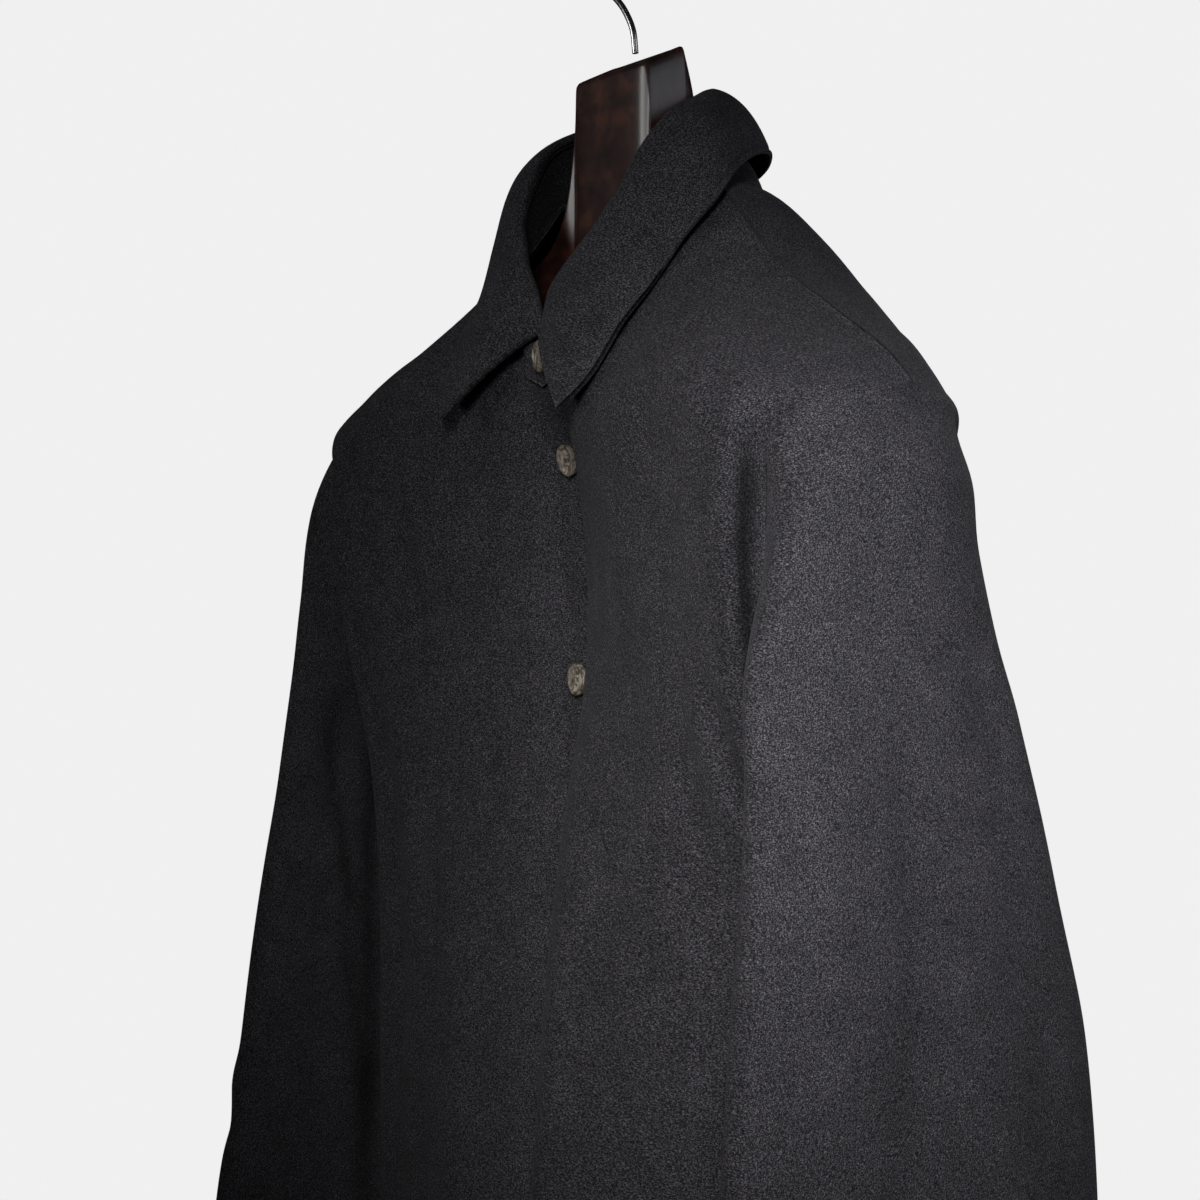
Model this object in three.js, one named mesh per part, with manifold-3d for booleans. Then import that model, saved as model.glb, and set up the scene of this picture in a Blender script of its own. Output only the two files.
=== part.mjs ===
// A wool overshirt hung on a wide-shouldered wooden hanger, in millimetres.
// The origin is the inside of the hook's crown. +Z is up, the front faces -Y, the wearer's left is +X.
import * as THREE from "three";
import Module from "manifold-3d";
import { mergeVertices } from "three/addons/utils/BufferGeometryUtils.js";

const clothWall = 2.0; // body and sleeves
const collarWall = 2.4; // stand and leaf
const seamGap = 0.3; // between two pieces at a seam
const lapReach = 18; // how far each front passes the centre line
const lapLift = clothWall + 1.4; // the left front lies this far in front of the right one
const lapBlend = 26; // the lift fades out over this width past the lap
const lapFlat = 11; // the lap lies flat this far each side of the centre
const underLap = 8; // past this the hidden edge of the right front stays flat

const neckHalf = 60; // centre to the neck end of the shoulder seam
const shoulderHalf = 228; // centre to the top of the sleeve
const shoulderTop = { y: -12, z: -220 };
const neckSide = { y: 3, z: -122 };
const shoulderDip = 4; // the shoulder line sags this much between its ends
const hemZ = -865;
const armpitZ = -420;
const sleeveHemZ = -822;

const turnStart = 189; // where the panels start to turn round the side
const turnRadius = 18;
const sideSeamY = -2;
const armpitReach = 2.8; // the armpit stands this far out from the side

const buttonPitch = 102;
const firstButtonZ = -248;
const frontButtons = 6;
const collarButtonX = 5; // its thread shank pulls it towards the wearer's left
const collarButtonZ = -201;
const buttonRest = 0.5; // from a button's back to the cloth

// Half of the neckline, from the centre front round to the centre back.
const neckFrontRows = [
  { x: 0, y: -39.5, z: -216 },
  { x: 22, y: -40.5, z: -206 },
  { x: 38, y: -40, z: -183 },
  { x: 46, y: -36, z: -167 },
  { x: 52, y: -27, z: -153 },
  { x: 57, y: -13, z: -138 },
  { x: neckHalf, ...neckSide },
];
const neckBackRows = [
  { x: neckHalf, ...neckSide },
  { x: 55, y: 21, z: -115 },
  { x: 46, y: 35, z: -111 },
  { x: 28, y: 47, z: -108 },
  { x: 0, y: 52, z: -106 },
];

// Depth of the hanging cloth (y) at each height: at the centre, on the crest of the soft fold beside
// the lap, inner and outer chest, at the corner beside the sleeve and at the shoulder's end.
const frontStations = { inner: 77, outer: 125, corner: 187, end: shoulderHalf };
const leftFrontRows = [
  { z: -180, crestX: 30, centre: -40, crest: -50, inner: -58, outer: -64, corner: -74, end: -74 },
  { z: -216, crestX: 30, centre: -36, crest: -50, inner: -60, outer: -66, corner: -76, end: -75 },
  { z: -250, crestX: 30, centre: -25, crest: -42, inner: -59, outer: -66, corner: -76, end: -75 },
  { z: -300, crestX: 28, centre: -21, crest: -35, inner: -54, outer: -62, corner: -73, end: -73 },
  { z: -350, crestX: 28, centre: -20, crest: -37, inner: -51, outer: -59, corner: -66, end: -66 },
  { z: -400, crestX: 30, centre: -20, crest: -47, inner: -57, outer: -59, corner: -57, end: -56 },
  { z: -460, crestX: 32, centre: -20, crest: -57, inner: -63, outer: -60, corner: -50, end: -46 },
  { z: -530, crestX: 35, centre: -21, crest: -66, inner: -70, outer: -62, corner: -47, end: -42 },
  { z: -590, crestX: 38, centre: -22, crest: -72, inner: -75, outer: -64, corner: -46, end: -40 },
  { z: -730, crestX: 40, centre: -24, crest: -76, inner: -79, outer: -66, corner: -46, end: -40 },
  { z: hemZ, crestX: 42, centre: -26, crest: -78, inner: -81, outer: -68, corner: -48, end: -42 },
];
const rightFrontRows = [
  { z: -180, crestX: 34, crest: -46, inner: -57, outer: -60, corner: -60, end: -56 },
  { z: -216, crestX: 34, crest: -46, inner: -58, outer: -61, corner: -61, end: -58 },
  { z: -250, crestX: 36, crest: -37, inner: -50, outer: -58, corner: -63, end: -61 },
  { z: -300, crestX: 38, crest: -32, inner: -43, outer: -52, corner: -61, end: -62 },
  { z: -350, crestX: 38, crest: -30, inner: -38, outer: -46, corner: -53, end: -54 },
  { z: -400, crestX: 38, crest: -30, inner: -37, outer: -41, corner: -43, end: -43 },
  { z: -460, crestX: 38, crest: -32, inner: -39, outer: -40, corner: -37, end: -36 },
  { z: -590, crestX: 40, crest: -37, inner: -44, outer: -42, corner: -36, end: -34 },
  { z: -730, crestX: 42, crest: -42, inner: -48, outer: -44, corner: -37, end: -34 },
  { z: hemZ, crestX: 44, crest: -46, inner: -52, outer: -46, corner: -39, end: -36 },
];
const backStations = { inner: 60, outer: 125, corner: 187, end: shoulderHalf };
const backRows = [
  { z: -150, centre: 58, inner: 59, outer: 53, corner: 36, end: 20 },
  { z: -220, centre: 62, inner: 62, outer: 54, corner: 36, end: 22 },
  { z: -250, centre: 63, inner: 63, outer: 56, corner: 36, end: 26 },
  { z: -350, centre: 60, inner: 65, outer: 60, corner: 43, end: 38 },
  { z: -460, centre: 55, inner: 63, outer: 64, corner: 51, end: 46 },
  { z: -600, centre: 52, inner: 66, outer: 61, corner: 51, end: 46 },
  { z: -730, centre: 51, inner: 68, outer: 58, corner: 51, end: 46 },
  { z: hemZ, centre: 50, inner: 70, outer: 57, corner: 51, end: 46 },
];
// How steeply the front falls forwards from the shoulder line, by distance from the centre.
const frontSlopeRows = [
  { x: 0, slope: 1.15 },
  { x: 60, slope: 1.3 },
  { x: 78, slope: 1.1 },
  { x: 110, slope: 0.55 },
  { x: 140, slope: 0.34 },
  { x: 170, slope: 0.2 },
  { x: 200, slope: 0.1 },
  { x: shoulderHalf, slope: 0 },
];

// Rows of the panels: `over` runs over the shoulder, `fall` is the share of the way down to the hem.
const overRows = [
  { t: 0, edge: 228, turn: 230 },
  { t: 0.2, edge: 226, turn: 224 },
  { t: 0.4, edge: 222, turn: 215 },
  { t: 0.6, edge: 218, turn: 205 },
  { t: 0.8, edge: 212, turn: 196 },
  { t: 1, edge: 207, turn: turnStart },
];
const armholeWidth = 207; // of a panel beside the armhole
const armholeFoot = 0.19; // share of the fall where the armhole starts to curve under
const armholeEnd = (faceZ(shoulderHalf) - armpitZ) / (faceZ(shoulderHalf) - hemZ);
const fallRows = [
  0.05, 0.1, 0.15, armholeFoot, 0.235, armholeEnd, 0.33, 0.39, 0.46, 0.54, 0.63, 0.73, 0.86, 1,
];
const seamColumns = [60, 78, 98, 120, 142, 164, 184, 201, 216, 228]; // along the shoulder seam
const frontShares = [
  0, 0.05, 0.1, 0.155, 0.21, 0.27, 0.34, 0.42, 0.51, 0.6, 0.69, 0.77, 0.84, 0.9, 0.95, 1,
]; // where the columns lie below the shoulder, as shares of the panel's width
const backNeckSteps = 8;

// Left sleeve by height: front and back ends of the flattened tube and half of its thickness.
const leftSleeveRows = [
  { z: -225, frontX: 212, frontY: -71, backX: 230, backY: 8, half: 9 },
  { z: -250, frontX: 214, frontY: -77, backX: 232, backY: 14, half: 13 },
  { z: -321, frontX: 220, frontY: -82, backX: 240, backY: 21, half: 18 },
  { z: -411, frontX: 227, frontY: -91, backX: 248, backY: 37, half: 22.5 },
  { z: -472, frontX: 232, frontY: -100, backX: 252, backY: 47, half: 24 },
  { z: -580, frontX: 239, frontY: -108, backX: 256, backY: 56, half: 27 },
  { z: -700, frontX: 243, frontY: -106, backX: 255, backY: 47, half: 25 },
  { z: sleeveHemZ, frontX: 242, frontY: -94, backX: 250, backY: 38, half: 23 },
];
const rightSleeveRows = [
  { z: -225, frontX: 212, frontY: -60, backX: 230, backY: 6, half: 10 },
  { z: -250, frontX: 216, frontY: -67, backX: 233, backY: 12, half: 15 },
  { z: -321, frontX: 219, frontY: -74, backX: 239, backY: 20, half: 17.5 },
  { z: -411, frontX: 223, frontY: -80, backX: 245, backY: 38, half: 21 },
  { z: -472, frontX: 232, frontY: -88, backX: 249, backY: 46, half: 24 },
  { z: -580, frontX: 247, frontY: -98, backX: 255, backY: 52, half: 26 },
  { z: -700, frontX: 261, frontY: -101, backX: 264, backY: 46, half: 25 },
  { z: sleeveHemZ, frontX: 266, frontY: -88, backX: 266, backY: 34, half: 23 },
];
const sleeveSteps = [0, 0.02, 0.045, 0.08, 0.13, 0.19, 0.26, 0.34, 0.42, 0.51, 0.6, 0.7, 0.8, 0.9, 1];
const capReach = 62; // the sleeve leaves the armhole's edge over this drop

// Collar above each place of the neckline, from the centre front round to the centre back: the roll
// line at the top of the stand, the outer edge of the leaf and how far the leaf's fall bows out.
const collarRows = [
  { roll: [3, -39.5, -190], edge: [54, -68, -224], rise: 6.5 },
  { roll: [10, -39, -171], edge: [69, -61, -212], rise: 6.5 },
  { roll: [22, -37, -157], edge: [77, -49.5, -192], rise: 7 },
  { roll: [31, -33, -147], edge: [82, -36, -174], rise: 9 },
  { roll: [41, -29, -132], edge: [87, -24, -155], rise: 12 },
  { roll: [46, -21, -113], edge: [90, -8, -137], rise: 14 },
  { roll: [50, -9, -96], edge: [83, 9, -123], rise: 14 },
  { roll: [44, 8, -87], edge: [69, 31, -113], rise: 13 },
  { roll: [34, 22, -81], edge: [53, 48, -109], rise: 12 },
  { roll: [19, 38, -78.5], edge: [30, 60, -113], rise: 9 },
  { roll: [0, 45, -78], edge: [0, 66, -117], rise: 8 },
];
const standEnd = 16; // each end of the stand passes the centre by this much
const standDrop = 3; // the stand stops this far under the roll line

// Hanger: half of its length by section. `top` and `bottom` are heights, `front` and `back` depths,
// `slant` is how far the top falls towards the front and `swell` how far the neck's back bulges.
const hangerRows = [
  { x: 0, top: -60, bottom: -150, front: -9, back: 10, round: 4, slant: 9, swell: 8 },
  { x: 22, top: -60, bottom: -152, front: -9, back: 10, round: 4, slant: 9, swell: 8 },
  { x: 28, top: -60.5, bottom: -154, front: -9, back: 10, round: 4, slant: 9, swell: 8 },
  { x: 31, top: -63, bottom: -155, front: -9, back: 10, round: 4, slant: 8, swell: 7 },
  { x: 32.2, top: -90, bottom: -156, front: -9.5, back: 11, round: 4, slant: 2, swell: 6 },
  { x: 36, top: -122, bottom: -157, front: -10, back: 12, round: 5, slant: 0, swell: 3 },
  { x: 45, top: -138, bottom: -164, front: -11, back: 12, round: 6, slant: 0, swell: 0 },
  { x: 60, top: -147, bottom: -173, front: -12, back: 12, round: 8, slant: 0, swell: 0 },
  { x: 85, top: -157.5, bottom: -187, front: -15, back: 13, round: 10, slant: 0, swell: 0 },
  { x: 120, top: -174.4, bottom: -204, front: -24, back: 14, round: 12, slant: 0, swell: 0 },
  { x: 160, top: -195.3, bottom: -224, front: -40, back: 13, round: 12, slant: 0, swell: 0 },
  { x: 195, top: -214.3, bottom: -241, front: -47, back: 6, round: 12, slant: 0, swell: 0 },
  { x: 210, top: -223.3, bottom: -247, front: -46, back: 2, round: 11, slant: 0, swell: 0 },
];
const swellShares = [0.6, 1, 0.9]; // of the swell, at the quarters of the way up the back
const hangerCorner = 4; // steps round each corner of a section

const hookWire = 3;
const hookRadius = 19; // of the wire's centre line
const woodTop = hangerRows[0].top;
const hookSeat = 1.3; // the wire's foot reaches this far below the top's highest line

const wool = new THREE.MeshStandardMaterial({ color: 0x232227, roughness: 0.95, metalness: 0 });
const darkWood = new THREE.MeshStandardMaterial({ color: 0x3a1a12, roughness: 0.35, metalness: 0 });
const steel = new THREE.MeshStandardMaterial({ color: 0xb9bcc0, roughness: 0.3, metalness: 1 });
const horn = new THREE.MeshStandardMaterial({ color: 0x5f5852, roughness: 0.4, metalness: 0 });

const wasm = await Module();
wasm.setup();

// ---- Curves through tables ----

function smooth(from, to, value) {
  return THREE.MathUtils.smoothstep(value, from, to);
}

// A smooth curve through knots (xs rising), held level past the ends.
function curveAt(xs, ys, x) {
  const last = xs.length - 1;
  if (x <= xs[0]) return ys[0];
  if (x >= xs[last]) return ys[last];
  let i = 0;
  while (x > xs[i + 1]) i++;
  const slope = (k) => (ys[k + 1] - ys[k]) / (xs[k + 1] - xs[k]);
  const tangent = (k) => {
    if (k === 0) return slope(0);
    if (k === last) return slope(last - 1);
    return (slope(k - 1) + slope(k)) / 2;
  };
  const width = xs[i + 1] - xs[i];
  const t = (x - xs[i]) / width;
  const a = ys[i];
  const b = ys[i + 1];
  const bend = 3 * (b - a) - width * (2 * tangent(i) + tangent(i + 1));
  const twist = 2 * (a - b) + width * (tangent(i) + tangent(i + 1));
  return a + width * tangent(i) * t + bend * t * t + twist * t * t * t;
}

// One column of a table whose rows go down in z, at height z.
function atHeight(rows, column, z) {
  return curveAt(rows.map((r) => -r.z), rows.map((r) => r[column]), -z);
}

function frontDepth(x, z) {
  const names = ["corner", "outer", "inner"];
  const right = names.map((n) => ({ x: -frontStations[n], y: atHeight(rightFrontRows, n, z) }));
  const left = names.map((n) => ({ x: frontStations[n], y: atHeight(leftFrontRows, n, z) })).reverse();
  const knots = [
    { x: -frontStations.end, y: atHeight(rightFrontRows, "end", z) },
    ...right,
    { x: -atHeight(rightFrontRows, "crestX", z), y: atHeight(rightFrontRows, "crest", z) },
    ...[-lapFlat, 0, lapFlat].map((x) => ({ x, y: atHeight(leftFrontRows, "centre", z) })),
    { x: atHeight(leftFrontRows, "crestX", z), y: atHeight(leftFrontRows, "crest", z) },
    ...left,
    { x: frontStations.end, y: atHeight(leftFrontRows, "end", z) },
  ];
  return curveAt(knots.map((k) => k.x), knots.map((k) => k.y), x);
}

function backDepth(x, z) {
  const names = ["centre", "inner", "outer", "corner", "end"];
  const xs = names.map((n) => backStations[n] ?? 0);
  return curveAt(xs, names.map((n) => atHeight(backRows, n, z)), Math.abs(x));
}

// ---- Places on the body ----

function ridge(x) {
  const along = (x - neckHalf) / (shoulderHalf - neckHalf);
  const sag = shoulderDip * Math.sin(Math.PI * along);
  return new THREE.Vector3(
    x,
    THREE.MathUtils.lerp(neckSide.y, shoulderTop.y, along),
    THREE.MathUtils.lerp(neckSide.z, shoulderTop.z, along) - sag,
  );
}

function faceZ(x) {
  return -232 - 18 * smooth(140, 225, x); // where the front hangs upright
}

function backFaceZ(x) {
  return -190 - 60 * smooth(90, 225, x); // where the back hangs upright
}

// A panel turns round the side of the body past `turn`, which gives its place across and its set-back.
function turned(reach, turn) {
  const past = reach - turn;
  if (past <= 0) return { x: reach, back: 0 };
  const angle = Math.min(past / turnRadius, Math.PI / 2);
  const straight = Math.max(0, past - (turnRadius * Math.PI) / 2);
  return {
    x: turn + turnRadius * Math.sin(angle),
    back: turnRadius * (1 - Math.cos(angle)) + straight,
  };
}

function sideReach(depth) {
  return turnStart + (turnRadius * Math.PI) / 2 + Math.max(0, depth - turnRadius);
}

function armholeReach(share, sideWidth) {
  return THREE.MathUtils.lerp(armholeWidth, sideWidth, smooth(armholeFoot - 0.03, armholeEnd, share));
}

// The armpit stands out a little from the side, where body and sleeve meet in a fold.
function armpitShift(share) {
  return share > armholeEnd ? 0 : armpitReach * smooth(0.08, armholeEnd, share);
}

// Each panel is a grid of rows from the top to the hem, each row a list of places on the outer face.
// `top` lists the panel's top edge and `shares` where each column lies on the lower rows.
function panelGrid({ top, shares, side, depthAt, upright, slopeAt, facing, sideDepth }) {
  const rows = [];
  const spread = (t) => smooth(0, 1, t);
  for (const over of overRows) {
    rows.push(
      top.map((start, j) => {
        const low = shares[j] < 0 ? start.x * side : shares[j] * over.edge;
        const reach = THREE.MathUtils.lerp(start.x * side, low, spread(over.t));
        const { x, back } = turned(reach, over.turn);
        const faceTop = upright(Math.abs(reach));
        const face = depthAt(side * reach, faceTop);
        const bendZ = start.z - slopeAt(Math.abs(start.x)) * Math.abs(face - start.y);
        const t = over.t;
        const z = (1 - t) ** 2 * start.z + 2 * t * (1 - t) * Math.max(bendZ, faceTop + 6) + t * t * faceTop;
        const depth = depthAt(side * Math.min(reach, turnStart + 39 * (1 - t)), z);
        const y = start.y + (depth - start.y) * (1 - (1 - t) ** 2) - facing * back;
        return new THREE.Vector3(side * x, y, z);
      }),
    );
  }
  for (const share of fallRows) {
    const lastZ = THREE.MathUtils.lerp(faceZ(shoulderHalf), hemZ, share);
    const width = sideReach(sideDepth(lastZ));
    const edge = share > armholeEnd ? width : armholeReach(share, width);
    rows.push(
      top.map((start, j) => {
        const stretch = (edge - armholeWidth) * smooth(0.7, 1, shares[j]);
        const reach = shares[j] < 0 ? start.x * side : shares[j] * armholeWidth + stretch;
        const { x, back } = turned(reach, turnStart);
        const z = THREE.MathUtils.lerp(upright(Math.min(Math.abs(reach), shoulderHalf)), hemZ, share);
        const y = depthAt(side * Math.min(reach, turnStart), z) - facing * back;
        const out = shares[j] === 1 ? armpitShift(share) : 0;
        return new THREE.Vector3(side * (x + out), y, z);
      }),
    );
  }
  return rows;
}

function neckZ(x) {
  return curveAt(neckFrontRows.map((r) => r.x), neckFrontRows.map((r) => r.z), Math.abs(x));
}

function slopeOfFront(x) {
  return curveAt(frontSlopeRows.map((r) => r.x), frontSlopeRows.map((r) => r.slope), x);
}

function spline(rows) {
  return new THREE.CatmullRomCurve3(rows.map((r) => new THREE.Vector3(r.x, r.y, r.z)), false, "centripetal");
}

// The left front is lifted off the right one over the lap.
function lifted(point, side, lift) {
  if (side < 0) return point;
  point.y -= lift * (1 - smooth(lapReach, lapReach + lapBlend, point.x));
  return point;
}

function frontGrid(side) {
  const neck = neckFrontRows.map((r) => new THREE.Vector3(side * r.x, r.y, r.z));
  const lap = [-lapReach, -lapReach / 2].map((x) => new THREE.Vector3(side * x, neck[0].y, neckZ(x)));
  const shoulder = seamColumns.slice(1).map((x) => ridge(x)).map((p) => p.setX(side * p.x));
  const top = [...lap, ...neck, ...shoulder];
  const rows = panelGrid({
    top,
    shares: [-1, -1, ...frontShares],
    side,
    depthAt: side > 0 ? frontDepth : (x, z) => frontDepth(Math.min(x, underLap), z),
    upright: (x) => faceZ(x),
    slopeAt: slopeOfFront,
    facing: -1,
    sideDepth: (z) => sideSeamY - frontDepth(side * turnStart, z),
  });
  return rows.map((row) => row.map((p) => lifted(p, side, lapLift)));
}

function backHalfGrid(side) {
  const neck = spline(neckBackRows).getPoints(backNeckSteps / 2).map((p) => p.setX(side * p.x));
  const shoulder = seamColumns.slice(1).map((x) => ridge(x)).map((p) => p.setX(side * p.x));
  const top = [...neck.reverse(), ...shoulder];
  const steps = top.length - 1;
  return panelGrid({
    top,
    shares: top.map((p, j) => j / steps),
    side,
    depthAt: backDepth,
    upright: backFaceZ,
    slopeAt: (x) => (x < neckHalf - 1 ? 0.4 : 0.4 * smooth(185, shoulderHalf, x) - 0.1),
    facing: 1,
    sideDepth: (z) => backDepth(turnStart, z) - sideSeamY,
  });
}

function backGrid() {
  const left = backHalfGrid(1);
  const right = backHalfGrid(-1);
  return left.map((row, i) => [...right[i].slice(1).reverse(), ...row]);
}

// ---- Walls ----

// Outward normals of a grid, from its neighbours in both directions. `turn` is 1 or -1.
function gridNormals(grid, turn, ring = false) {
  return grid.map((row, i) =>
    row.map((_, j) => {
      const up = grid[Math.max(i - 1, 0)][j];
      const down = grid[Math.min(i + 1, grid.length - 1)][j];
      const n = row.length;
      const left = ring ? row[(j + n - 1) % n] : row[Math.max(j - 1, 0)];
      const right = ring ? row[(j + 1) % n] : row[Math.min(j + 1, n - 1)];
      const across = right.clone().sub(left);
      return across.cross(down.clone().sub(up)).multiplyScalar(turn).normalize();
    }),
  );
}

// A closed wall between two grids of places, `ring` when its columns close on themselves.
function wall(outer, inner, ring = false) {
  const rows = outer.length;
  const cols = outer[0].length;
  const points = [...outer.flat(), ...inner.flat()];
  const at = (layer, i, j) => layer * rows * cols + i * cols + (j % cols);
  const index = [];
  const quad = (a, b, c, d) => index.push(a, b, c, a, c, d);
  const lastCol = ring ? cols : cols - 1;
  for (let i = 0; i < rows - 1; i++) {
    for (let j = 0; j < lastCol; j++) {
      quad(at(0, i, j), at(0, i + 1, j), at(0, i + 1, j + 1), at(0, i, j + 1));
      quad(at(1, i, j), at(1, i, j + 1), at(1, i + 1, j + 1), at(1, i + 1, j));
    }
  }
  for (let j = 0; j < lastCol; j++) {
    quad(at(0, 0, j), at(0, 0, j + 1), at(1, 0, j + 1), at(1, 0, j));
    quad(at(0, rows - 1, j), at(1, rows - 1, j), at(1, rows - 1, j + 1), at(0, rows - 1, j + 1));
  }
  if (!ring) {
    for (let i = 0; i < rows - 1; i++) {
      quad(at(0, i, 0), at(1, i, 0), at(1, i + 1, 0), at(0, i + 1, 0));
      quad(at(0, i, cols - 1), at(0, i + 1, cols - 1), at(1, i + 1, cols - 1), at(1, i, cols - 1));
    }
  }
  const geometry = new THREE.BufferGeometry().setFromPoints(points);
  geometry.setIndex(index);
  return outward(geometry);
}

// Turns the faces round if the closed geometry's volume comes out negative.
function outward(geometry) {
  const p = geometry.attributes.position;
  const index = geometry.index.array;
  const corner = [0, 1, 2].map(() => new THREE.Vector3());
  let volume = 0;
  for (let i = 0; i < index.length; i += 3) {
    corner.forEach((v, k) => v.fromBufferAttribute(p, index[i + k]));
    volume += corner[0].dot(corner[1].clone().cross(corner[2]));
  }
  if (volume < 0) {
    for (let i = 0; i < index.length; i += 3) {
      [index[i], index[i + 1]] = [index[i + 1], index[i]];
    }
  }
  return geometry;
}

function offset(grid, normals, distance) {
  return grid.map((row, i) => row.map((p, j) => p.clone().addScaledVector(normals[i][j], -distance)));
}

// Moves an edge of a grid towards its neighbours by half of the seam's gap.
function pullBack(edge, inside) {
  edge.forEach((p, k) => {
    const way = inside[k].clone().sub(p);
    p.addScaledVector(way.normalize(), seamGap * 0.9);
  });
}

function meanNormals(first, second) {
  first.forEach((n, k) => {
    const mean = n.clone().add(second[k]).normalize();
    n.copy(mean);
    second[k].copy(mean);
  });
}

const column = (grid, j) => grid.map((row) => row.at(j));
const armholeRowCount = overRows.length + fallRows.indexOf(armholeEnd) + 1;
const neckColumns = neckFrontRows.length + 2; // of a front, lap included

// The rim of the wall round an armhole points away from the middle of the armhole.
function armholeRim(edge, side) {
  const middle = new THREE.Vector3(0, -16, -315);
  return edge.map((p) => {
    const lean = 0.5 * smooth(armpitZ, shoulderTop.z, p.z) * side;
    const rim = new THREE.Vector3(lean, (p.y - middle.y) / 46, (p.z - middle.z) / 100);
    return rim.normalize();
  });
}

function neckRim(edge) {
  return edge.map((p) => new THREE.Vector3(p.x * 0.9, p.y - 4, 45).normalize());
}

const grids = { left: frontGrid(1), right: frontGrid(-1), back: backGrid() };
const normals = {
  left: gridNormals(grids.left, -1),
  right: gridNormals(grids.right, 1),
  back: gridNormals(grids.back, 1),
};

// Shoulder and side seams take the mean of both panels' normals, armholes and neck their rims.
function joinNormals() {
  const backTop = normals.back[0];
  const count = seamColumns.length;
  for (const [name, side] of [["left", 1], ["right", -1]]) {
    const front = normals[name];
    const backShoulder = side > 0 ? backTop.slice(-count) : backTop.slice(0, count).reverse();
    meanNormals(front[0].slice(-count), backShoulder);
    const backSide = column(normals.back, side > 0 ? -1 : 0);
    meanNormals(column(front, -1).slice(armholeRowCount), backSide.slice(armholeRowCount));
    const frontEdge = column(grids[name], -1).slice(0, armholeRowCount);
    const backEdge = column(grids.back, side > 0 ? -1 : 0).slice(0, armholeRowCount);
    armholeRim(frontEdge, side).forEach((n, i) => column(front, -1)[i].copy(n));
    armholeRim(backEdge, side).forEach((n, i) => backSide[i].copy(n));
    neckRim(grids[name][0].slice(2, neckColumns)).forEach((n, j) => front[0][j + 2].copy(n));
  }
  const neckStart = seamColumns.length - 1;
  neckRim(grids.back[0].slice(neckStart, neckStart + backNeckSteps + 1)).forEach((n, j) => {
    backTop[neckStart + j].copy(n);
  });
}
joinNormals();

const armholes = Object.fromEntries(
  [["left", 1], ["right", -1]].map(([name, side]) => {
    const front = column(grids[name], -1).slice(0, armholeRowCount);
    const back = column(grids.back, side > 0 ? -1 : 0).slice(0, armholeRowCount);
    return [name, [...front.reverse(), ...back.slice(1, -1)].map((p) => p.clone())];
  }),
);

function panel(grid, gridNormal) {
  const outer = grid.map((row) => row.map((p) => p.clone()));
  pullBack(outer[0], outer[1]);
  pullBack(column(outer, 0), column(outer, 1));
  pullBack(column(outer, -1), column(outer, -2));
  return wall(outer, offset(outer, gridNormal, clothWall));
}

// ---- Sleeves ----

function sleeveRing(rows, side, z, angle) {
  const value = (name) => atHeight(rows, name, z);
  const front = new THREE.Vector2(value("frontX"), value("frontY"));
  const back = new THREE.Vector2(value("backX"), value("backY"));
  const middle = front.clone().add(back).multiplyScalar(0.5);
  const along = front.clone().sub(back).multiplyScalar(0.5);
  const across = new THREE.Vector2(-along.y, along.x).normalize().multiplyScalar(value("half"));
  const flat = Math.sign(Math.sin(angle)) * Math.abs(Math.sin(angle)) ** 0.8;
  const x = middle.x + along.x * Math.cos(angle) + across.x * flat;
  const y = middle.y + along.y * Math.cos(angle) + across.y * flat;
  return new THREE.Vector3(side * x, y, z);
}

// Lines run from the armhole's edge to the hem: the underarm, front, top and back of the armhole lie
// at the inner side, front end, outer side and back end of the flattened tube.
function sleeveGrid(rows, side, armhole) {
  const count = armhole.length;
  const topIndex = armholeRowCount - 1;
  const reach = [0];
  for (let i = 1; i <= count; i++) {
    reach.push(reach[i - 1] + armhole[i % count].distanceTo(armhole[i - 1]));
  }
  const angles = armhole.map((_, i) =>
    i <= topIndex
      ? -Math.PI / 2 + (Math.PI * reach[i]) / reach[topIndex]
      : Math.PI / 2 + (Math.PI * (reach[i] - reach[topIndex])) / (reach[count] - reach[topIndex]),
  );
  return sleeveSteps.map((step) =>
    armhole.map((start, i) => {
      const z = THREE.MathUtils.lerp(start.z, sleeveHemZ, step);
      const drop = Math.min(1, (start.z - z) / capReach);
      const leave = 1 - (1 - drop) ** 3;
      return start.clone().lerp(sleeveRing(rows, side, z, angles[i]), leave).setZ(z);
    }),
  );
}

function sleeve(rows, side, armhole) {
  const grid = sleeveGrid(rows, side, armhole);
  const normal = gridNormals(grid, -side, true);
  armholeRim(armhole, side).forEach((n, i) => normal[0][i].copy(n));
  pullBack(grid[0], grid[1]);
  return wall(grid, offset(grid, normal, clothWall), true);
}

// ---- Collar ----

// The whole way round from half of it, which runs from the centre front to the centre back.
function bothHalves(half) {
  const right = half.map((p) => p.clone().setX(-p.x));
  return [...right, ...half.slice(0, -1).reverse()];
}

const neckline = bothHalves(
  [...neckFrontRows, ...neckBackRows.slice(1)].map((r) => new THREE.Vector3(r.x, r.y, r.z)),
);
const curveThrough = (places) => new THREE.CatmullRomCurve3(places, false, "centripetal");
const rollCurve = curveThrough(bothHalves(collarRows.map((r) => new THREE.Vector3(...r.roll))));
const edgeCurve = curveThrough(bothHalves(collarRows.map((r) => new THREE.Vector3(...r.edge))));
const neckCurve = curveThrough(neckline);
const collarSteps = 2 * (neckline.length - 1);
const riseKnots = [...collarRows, ...collarRows.slice(0, -1).reverse()].map((r) => r.rise);
const riseSteps = riseKnots.map((_, i) => i / (riseKnots.length - 1));

function wayAlong(curve, u) {
  return curve.getPoint(Math.min(1, u + 0.02)).sub(curve.getPoint(Math.max(0, u - 0.02)));
}

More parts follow.
